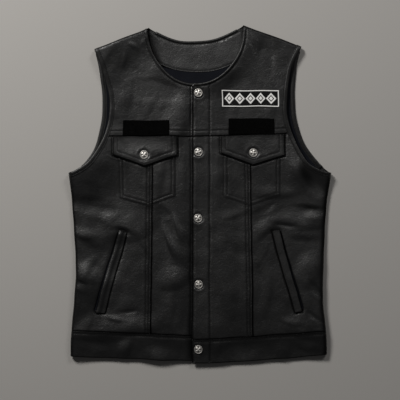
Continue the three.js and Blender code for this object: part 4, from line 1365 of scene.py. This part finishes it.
def chest_pocket(front):
    """The bag and the flap over it, whose outline comes back."""
    side, chest = front.side, CHEST[front.side]
    bag, flap = (clip(pointed(chest[part], ABOVE_YOKE), 1, shifted(yoke_y, -HALF_GAP), False)
                 for part in ("bag", "flap"))
    flap = soft_corners(flap, FLAP_CORNER)
    rows = [(path_inset(side, chest["flap"], inset), strength) for inset, strength in FLAP_ROWS]

    def under(x, y):
        """The free edge stands off the pocket, more at its corners."""
        free = smoothstep(yoke_y(x) - y, *FLAP_LIFT["below"])
        lift = free * (FLAP_LIFT[side] + FLAP_LIFT["ripple"] * uneven(x, y, RIPPLE))
        return front.plain(x, y) + POCKET_RELIEF + GAP + lift

    def outer(x, y):
        return under(x, y) + FLAP_THICKNESS + snap_dimple(x, y, [chest["snap"]])
    top = flap_tops[side] = sewn(outer, rows)
    pocket_bag(front, f"{side}_chest_bag_cloth", bag, f"{side}_chest_pocket_bag")
    panel(f"{side}_flap_leather", flap, top, under, (f"{side}_chest_flap",), step=2.6, rows=rows,
          spots=[chest["snap"]], edge=1.4, rests_on=(f"{side}_centre_leather",))
    for row, _ in rows:
        sew(side, row, top, flap)
    return flap


def hand_pocket(front):
    """The bag and the welt over its mouth, whose outline comes back."""
    side, s, welt = front.side, front.sign, WELT[front.side]
    (top_x, top_y), (low_x, low_y) = welt["outer_top"], welt["outer_bottom"]
    high, low = top_y + HAND_BAG["over"], low_y - HAND_BAG["beneath"]
    bag = np.array([
        (top_x + s * HAND_BAG["past"], high), (top_x - s * HAND_BAG["inward_top"], high),
        (low_x - s * HAND_BAG["inward_bottom"], low), (low_x + s * HAND_BAG["past"], low)])
    pocket_bag(front, f"{side}_hand_bag_cloth", bag, f"{side}_hand_pocket_bag")
    outline, mouth = welt_outline(side), np.array([welt["outer_top"], welt["outer_bottom"]])

    def top(x, y):
        """A rolled ridge along the mouth, which goes down to the sewn side."""
        d = distance_to(x, y, mouth)
        fall = 1 - welt["fall"] * smoothstep(d, welt["roll"] - RIDGE["before"], RIDGE["end"])
        ridge = mix(*RIDGE["share"], rounded(d, welt["roll"])) * fall
        return front.plain(x, y) + GAP + WELT_THICKNESS * ridge
    panel(f"{side}_welt_leather", soft_corners(outline, WELT_CORNER), top, raised(front.plain, GAP),
          (f"{side}_hand_pocket_welt",), step=2.2, rests_on=(f"{side}_side_leather",))
    return outline


def loop_strip(front):
    """The hook-and-loop strip on the yoke, whose outline comes back."""
    side = front.side
    box = centred_box(*CHEST[side]["strip"], STRIP["width"], STRIP["height"])
    outline = soft_corners(box, STRIP["corner"])
    panel(f"{side}_loop_strip_pile", outline, raised(front.plain, GAP + STRIP["thickness"]),
          raised(front.plain, GAP), (f"{side}_loop_strip",), LOOP_PILE, "loop", edge=0.9,
          rests_on=(f"{side}_yoke_leather",))
    return outline


def sew_front(front, covered):
    """The rows over one front and its armhole, and the back's armhole on that side. The snaps draw in the
    waistband's row on both fronts."""
    side, inset = front.side, front.sign * ARMHOLE_ROW["inset"]
    for row, _ in panel_rows[side]:
        sew(side, row, front.top, clip(front.half, 1, band_top(side), True), covered)
    for row, _ in band_rows[side]:
        sew(side, row, band_face(front, FRONT_SNAPS), band_outline(front))
    sew(side, beside(front_armhole[side], inset), raised(front.plain, ARMHOLE_ROW["rise"]))
    sew("back", beside(on_flat(back_armhole[side]), inset), raised(back_flat, ARMHOLE_ROW["rise"]))


for side in SIDES:
    front = front_of(side)
    front_panels(front)
    front_bindings(front)
    flap = chest_pocket(front)
    welt = hand_pocket(front)
    sew_front(front, [loop_strip(front), flap, welt])
for row, _ in facing_rows:
    sew("back", row, sewn(facing_top, facing_rows), facing)

# Name patch: black twill, a white border and a plain row of lozenges
left_plain = smooth_top("left")
patch_box = soft_corners(centred_box(PATCH["x"], PATCH["y"], PATCH["width"], PATCH["height"]), 1.0)
twill_top = raised(left_plain, GAP + PATCH["thickness"])
twill = panel("name_patch_twill", patch_box, twill_top, raised(left_plain, GAP), ("name_patch",), TWILL,
              "patch", edge=0.6, declare=False)
BORDER = {"inset": 0.5, "width": 2.1}
LOZENGES = {"count": 5, "pitch": 20.4, "half_width": 9.9, "half_height": 11.0, "line": 3.0, "core": 0.4}
HOLE_SHARE = 1 - LOZENGES["line"] / LOZENGES["half_width"] * 1.35
YARN = {"over": 0.55, "sunk": -0.1}


def patch_frame(inset):
    return centred_box(PATCH["x"], PATCH["y"], PATCH["width"] - 2 * inset, PATCH["height"] - 2 * inset)


def lozenge(x, share):
    a, b = LOZENGES["half_width"] * share, LOZENGES["half_height"] * share
    return np.array([(x - a, PATCH["y"]), (x, PATCH["y"] - b), (x + a, PATCH["y"]), (x, PATCH["y"] + b)])


def embroidered(name, outline, holes=()):
    return panel(name, outline, raised(twill_top, YARN["over"]), raised(twill_top, YARN["sunk"]), (),
                 WHITE_THREAD, "patch", step=1.6, holes=holes, declare=False)


sewn_on = [embroidered("patch_border", patch_frame(BORDER["inset"]),
                       (patch_frame(BORDER["inset"] + BORDER["width"]),))]
for k in range(LOZENGES["count"]):
    x = PATCH["x"] + (k - (LOZENGES["count"] - 1) / 2) * LOZENGES["pitch"]
    sewn_on.append(embroidered(f"patch_lozenge_{k + 1}", lozenge(x, 1), (lozenge(x, HOLE_SHARE),)))
    sewn_on.append(embroidered(f"patch_core_{k + 1}", lozenge(x, LOZENGES["core"])))

# Snap caps: a rim round a domed centre with four petals, pits between them and a button
CAP = {"foot": 7.7, "radius": 8.2, "rim": 1.6, "rim_height": 2.1, "dish": 1.45, "dome": 2.5, "sides": 56}
FLAT_R = CAP["radius"] - CAP["rim"]
PETAL = {"at": 3.6, "width": 2.2, "power": 0.6, "height": 0.35, "rub": 0.5}
PIT = {"at": 4.0, "width": 1.3, "power": 2, "depth": 0.6, "rub": 1.3}
BUTTON = {"width": 1.3, "height": 0.25, "rub": 0.5}
RIM = {"in": 0.55, "width": 0.55, "rub": 0.6, "starts": 0.2, "full": 0.5, "turns": 0.45, "drop": 0.9}
RUB = {"flat": 0.55, "least": 0.04, "groove": 0.75, "groove_width": 0.4, "skirt": 0.45, "foot": 0.1}
SEAT = {"sunk": 0.15, "skirt": 0.8}
CAP_RINGS = {"first": 0.35, "inner": 15, "past_rim": 0.2, "outer": 8}
TWIST = {"first": 0.35, "each": 0.9, "right": 0.7, "left": 0.2}


def cap_height(r, turn):
    """Height of a cap's upper face and how far it is rubbed bright."""
    dome = CAP["dish"] + (CAP["dome"] - CAP["dish"]) * np.clip(1 - (r / FLAT_R)**2, 0, 1)
    petal = np.clip(np.cos(4 * turn), 0, 1)**PETAL["power"] * bell(r - PETAL["at"], PETAL["width"])
    pit = np.clip(-np.cos(4 * turn), 0, 1)**PIT["power"] * bell(r - PIT["at"], PIT["width"])
    button = np.exp(-(r / BUTTON["width"])**4)
    on_rim = bell(r - CAP["radius"] + RIM["in"], RIM["width"])
    height = dome + PETAL["height"] * petal - PIT["depth"] * pit + BUTTON["height"] * button
    height = mix(height, CAP["rim_height"], smoothstep(r, FLAT_R - RIM["starts"], FLAT_R + RIM["full"]))
    height = height - RIM["drop"] * smoothstep(r, CAP["radius"] - RIM["turns"], CAP["radius"])
    rub = RUB["flat"] + PETAL["rub"] * petal + BUTTON["rub"] * button + RIM["rub"] * on_rim - PIT["rub"] * pit
    groove = bell(r - FLAT_R, RUB["groove_width"])
    return height, np.clip(rub, RUB["least"], 1) * (1 - RUB["groove"] * groove)


def snap_cap(name, node_name, height, twist):
    low, high = (np.array(corner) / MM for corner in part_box(node_name))
    cx, cy = (low[:2] + high[:2]) / 2
    turn = np.linspace(0, math.tau, CAP["sides"], endpoint=False)
    radii = np.concatenate([np.linspace(CAP_RINGS["first"], FLAT_R, CAP_RINGS["inner"]),
                            np.linspace(FLAT_R + CAP_RINGS["past_rim"], CAP["radius"], CAP_RINGS["outer"])])
    r, t = np.meshgrid(radii, turn, indexing="ij")
    z, rub = cap_height(r, t + twist)
    ring = height(cx + CAP["foot"] * np.cos(turn), cy + CAP["foot"] * np.sin(turn))
    foot = float(ring.mean()) - SEAT["sunk"]
    px, py = drifted(np.array(cx), np.array(cy))

    def layer(r, t, z):
        return np.stack([px + r * np.cos(t), py + r * np.sin(t), z + 0 * t], -1).reshape(-1, 3)
    points = np.vstack([layer(r, t, foot + z), layer(CAP["radius"], turn, foot + SEAT["skirt"]),
                        layer(CAP["foot"], turn, foot)])
    n, last = len(turn), len(radii) + 1
    faces = [(i * n + k, (i + 1) * n + k, (i + 1) * n + (k + 1) % n, i * n + (k + 1) % n)
             for i in range(last) for k in range(n)]
    faces += [tuple(range(n)), tuple(range(last * n, (last + 1) * n))[::-1]]
    obj = mesh_object(name, points, faces, SILVER)
    sides = [np.full(n, RUB[part]) for part in ("skirt", "foot")]
    set_attribute(obj, "rub", np.concatenate([rub.ravel(), *sides]))
    add_piece(obj, (node_name,))


left_top = front_top("left")
for i, y in enumerate(SNAP_Y):
    rise = BAND_EXTRA if y < band_top("left")(SNAP_X) else 0
    snap_cap(f"front_snap_cap_{i + 1}", f"front_snap_{i + 1}", raised(left_top, rise),
             TWIST["first"] + TWIST["each"] * i)
for side in SIDES:
    snap_cap(f"{side}_flap_snap_cap", f"{side}_flap_snap", flap_tops[side], TWIST[side])

# Stitches: short threads that dip into the leather at both ends
PITCH = 3.4
AHEAD = 0.8
STITCH_CLEAR = 1.0
THREAD_LIFT = 0.12
THREAD_RINGS = ((-1.35, 0.12, -0.32), (-0.85, 0.34, 0.06), (0.85, 0.34, 0.06), (1.35, 0.12, -0.32))
AROUND = 6
BENT_ROW = 9               # a line of more points is a curve, and one of fewer has legs with corners


def thread_faces():
    """One stitch's faces, with two at each end."""
    faces, last = [], (len(THREAD_RINGS) - 1) * AROUND
    for start in range(0, last, AROUND):
        for k in range(AROUND):
            a, b = start + k, start + (k + 1) % AROUND
            faces.append((a, b, b + AROUND, a + AROUND))
    for ends in (range(AROUND)[::-1], range(last, last + AROUND)):
        faces += [tuple(ends[:4]), (ends[0], *ends[3:])]
    return np.array(faces)


def stitch_middles(leg, run, within, bare):
    """Where the stitches lie along a leg, leaving out what is covered."""
    count = int(run[-1] // PITCH)
    middle = (np.arange(count) + 0.5) * run[-1] / max(count, 1)
    x, y = (np.interp(middle, run, leg[:, k]) for k in (0, 1))
    ok = np.full(count, count > 1)
    if within is not None:
        ok &= inside(x, y, within) & (distance_to(x, y, within, closed=True) > STITCH_CLEAR)
    for other in bare:
        ok &= ~inside(x, y, other)
    return middle[ok]


def thread_points(leg, run, middle, height):
    """Rings of points round each stitch of a leg."""
    def at_run(distance):
        return np.array([np.interp(distance, run, leg[:, k]) for k in (0, 1)])
    ahead = at_run(middle + AHEAD) - at_run(middle - AHEAD)
    ux, uy = ahead / np.maximum(np.hypot(*ahead), 1e-6)
    rings = []
    for shift, radius, rise in THREAD_RINGS:
        x, y = at_run(middle) + np.array([ux, uy]) * shift
        z = height(x, y) + rise + THREAD_LIFT
        px, py = drifted(x, y)
        for k in range(AROUND):
            a = math.tau * k / AROUND
            side_by, up_by = radius * math.cos(a), radius * math.sin(a)
            rings.append(np.column_stack([px - uy * side_by, py + ux * side_by, z + up_by]))
    return np.stack(rings, 1).reshape(-1, 3)


def stitched(name, entries):
    """All of a group's stitches as one mesh."""
    shell, faces, each, start = [], [], thread_faces(), 0
    for row, height, within, bare in entries:
        row = np.asarray(row, float)
        legs = [row] if len(row) > BENT_ROW else [row[i:i + 2] for i in range(len(row) - 1)]
        for leg in legs:
            run = run_of(leg)
            middle = stitch_middles(leg, run, within, bare)
            if len(middle):
                shell.append(thread_points(leg, run, middle, height))
                base = start + np.arange(len(middle))[:, None] * len(THREAD_RINGS) * AROUND
                faces += [base + face for face in each]
                start += len(shell[-1])
    add_piece(mesh_object(name, np.vstack(shell), np.vstack(faces).tolist(), BLACK_THREAD))


for group, entries in stitch_rows.items():
    stitched(f"{group}_stitches", entries)

# Floor, light and camera
FLOOR = {"size": 8, "z": -0.0003, "colour": (0.435, 0.42, 0.4, 1), "rough": 0.9}
LIGHTS = (
    {"name": "key", "place": (-1.25, 1.65, 1.55), "size": 0.7, "power": 50, "colour": (1.0, 0.985, 0.96)},
    {"name": "head", "place": (1.2, 1.8, 1.8), "size": 0.9, "power": 14, "colour": (1.0, 0.99, 0.975)},
)
SKY = {"Color": (0.97, 0.98, 1.0, 1), "Strength": 0.045}

bpy.ops.mesh.primitive_plane_add(size=FLOOR["size"], location=(0, 0, FLOOR["z"]))
floor = bpy.context.object
floor.name = "floor"
paper = new_material("pale_floor")[0]
floor.data.materials.append(finished(paper, {"Base Color": FLOOR["colour"], "Roughness": FLOOR["rough"]}))

for light in LIGHTS:
    data = bpy.data.lights.new(light["name"], "AREA")
    data.shape = "DISK"
    data.size = light["size"]
    data.energy = light["power"]
    data.color = light["colour"]
    lamp = bpy.data.objects.new(light["name"], data)
    bpy.context.collection.objects.link(lamp)
    lamp.location = light["place"]
    lamp.rotation_euler = (-Vector(light["place"])).to_track_quat("-Z", "Y").to_euler()

world = bpy.data.worlds.new("studio")
world.use_nodes = True
feed(world.node_tree, world.node_tree.nodes["Background"], SKY)
bpy.context.scene.world = world
bpy.context.scene.view_settings.view_transform = "Standard"

# One pixel of the photo is 1.95 mm at the garment, and the garment's centre is 6 pixels above the middle
FRAME_WIDTH = 0.78
CENTRE_DOWN = 0.0117
ABOVE_FLOOR = 0.007
LENS, SENSOR = 85, 36
camera_data = bpy.data.cameras.new("camera")
camera_data.lens = LENS
camera_data.sensor_width = SENSOR
camera = bpy.data.objects.new("camera", camera_data)
bpy.context.collection.objects.link(camera)
camera.location = (0, -CENTRE_DOWN, FRAME_WIDTH * LENS / SENSOR + ABOVE_FLOOR)
bpy.context.scene.camera = camera

bpy.context.view_layer.update()
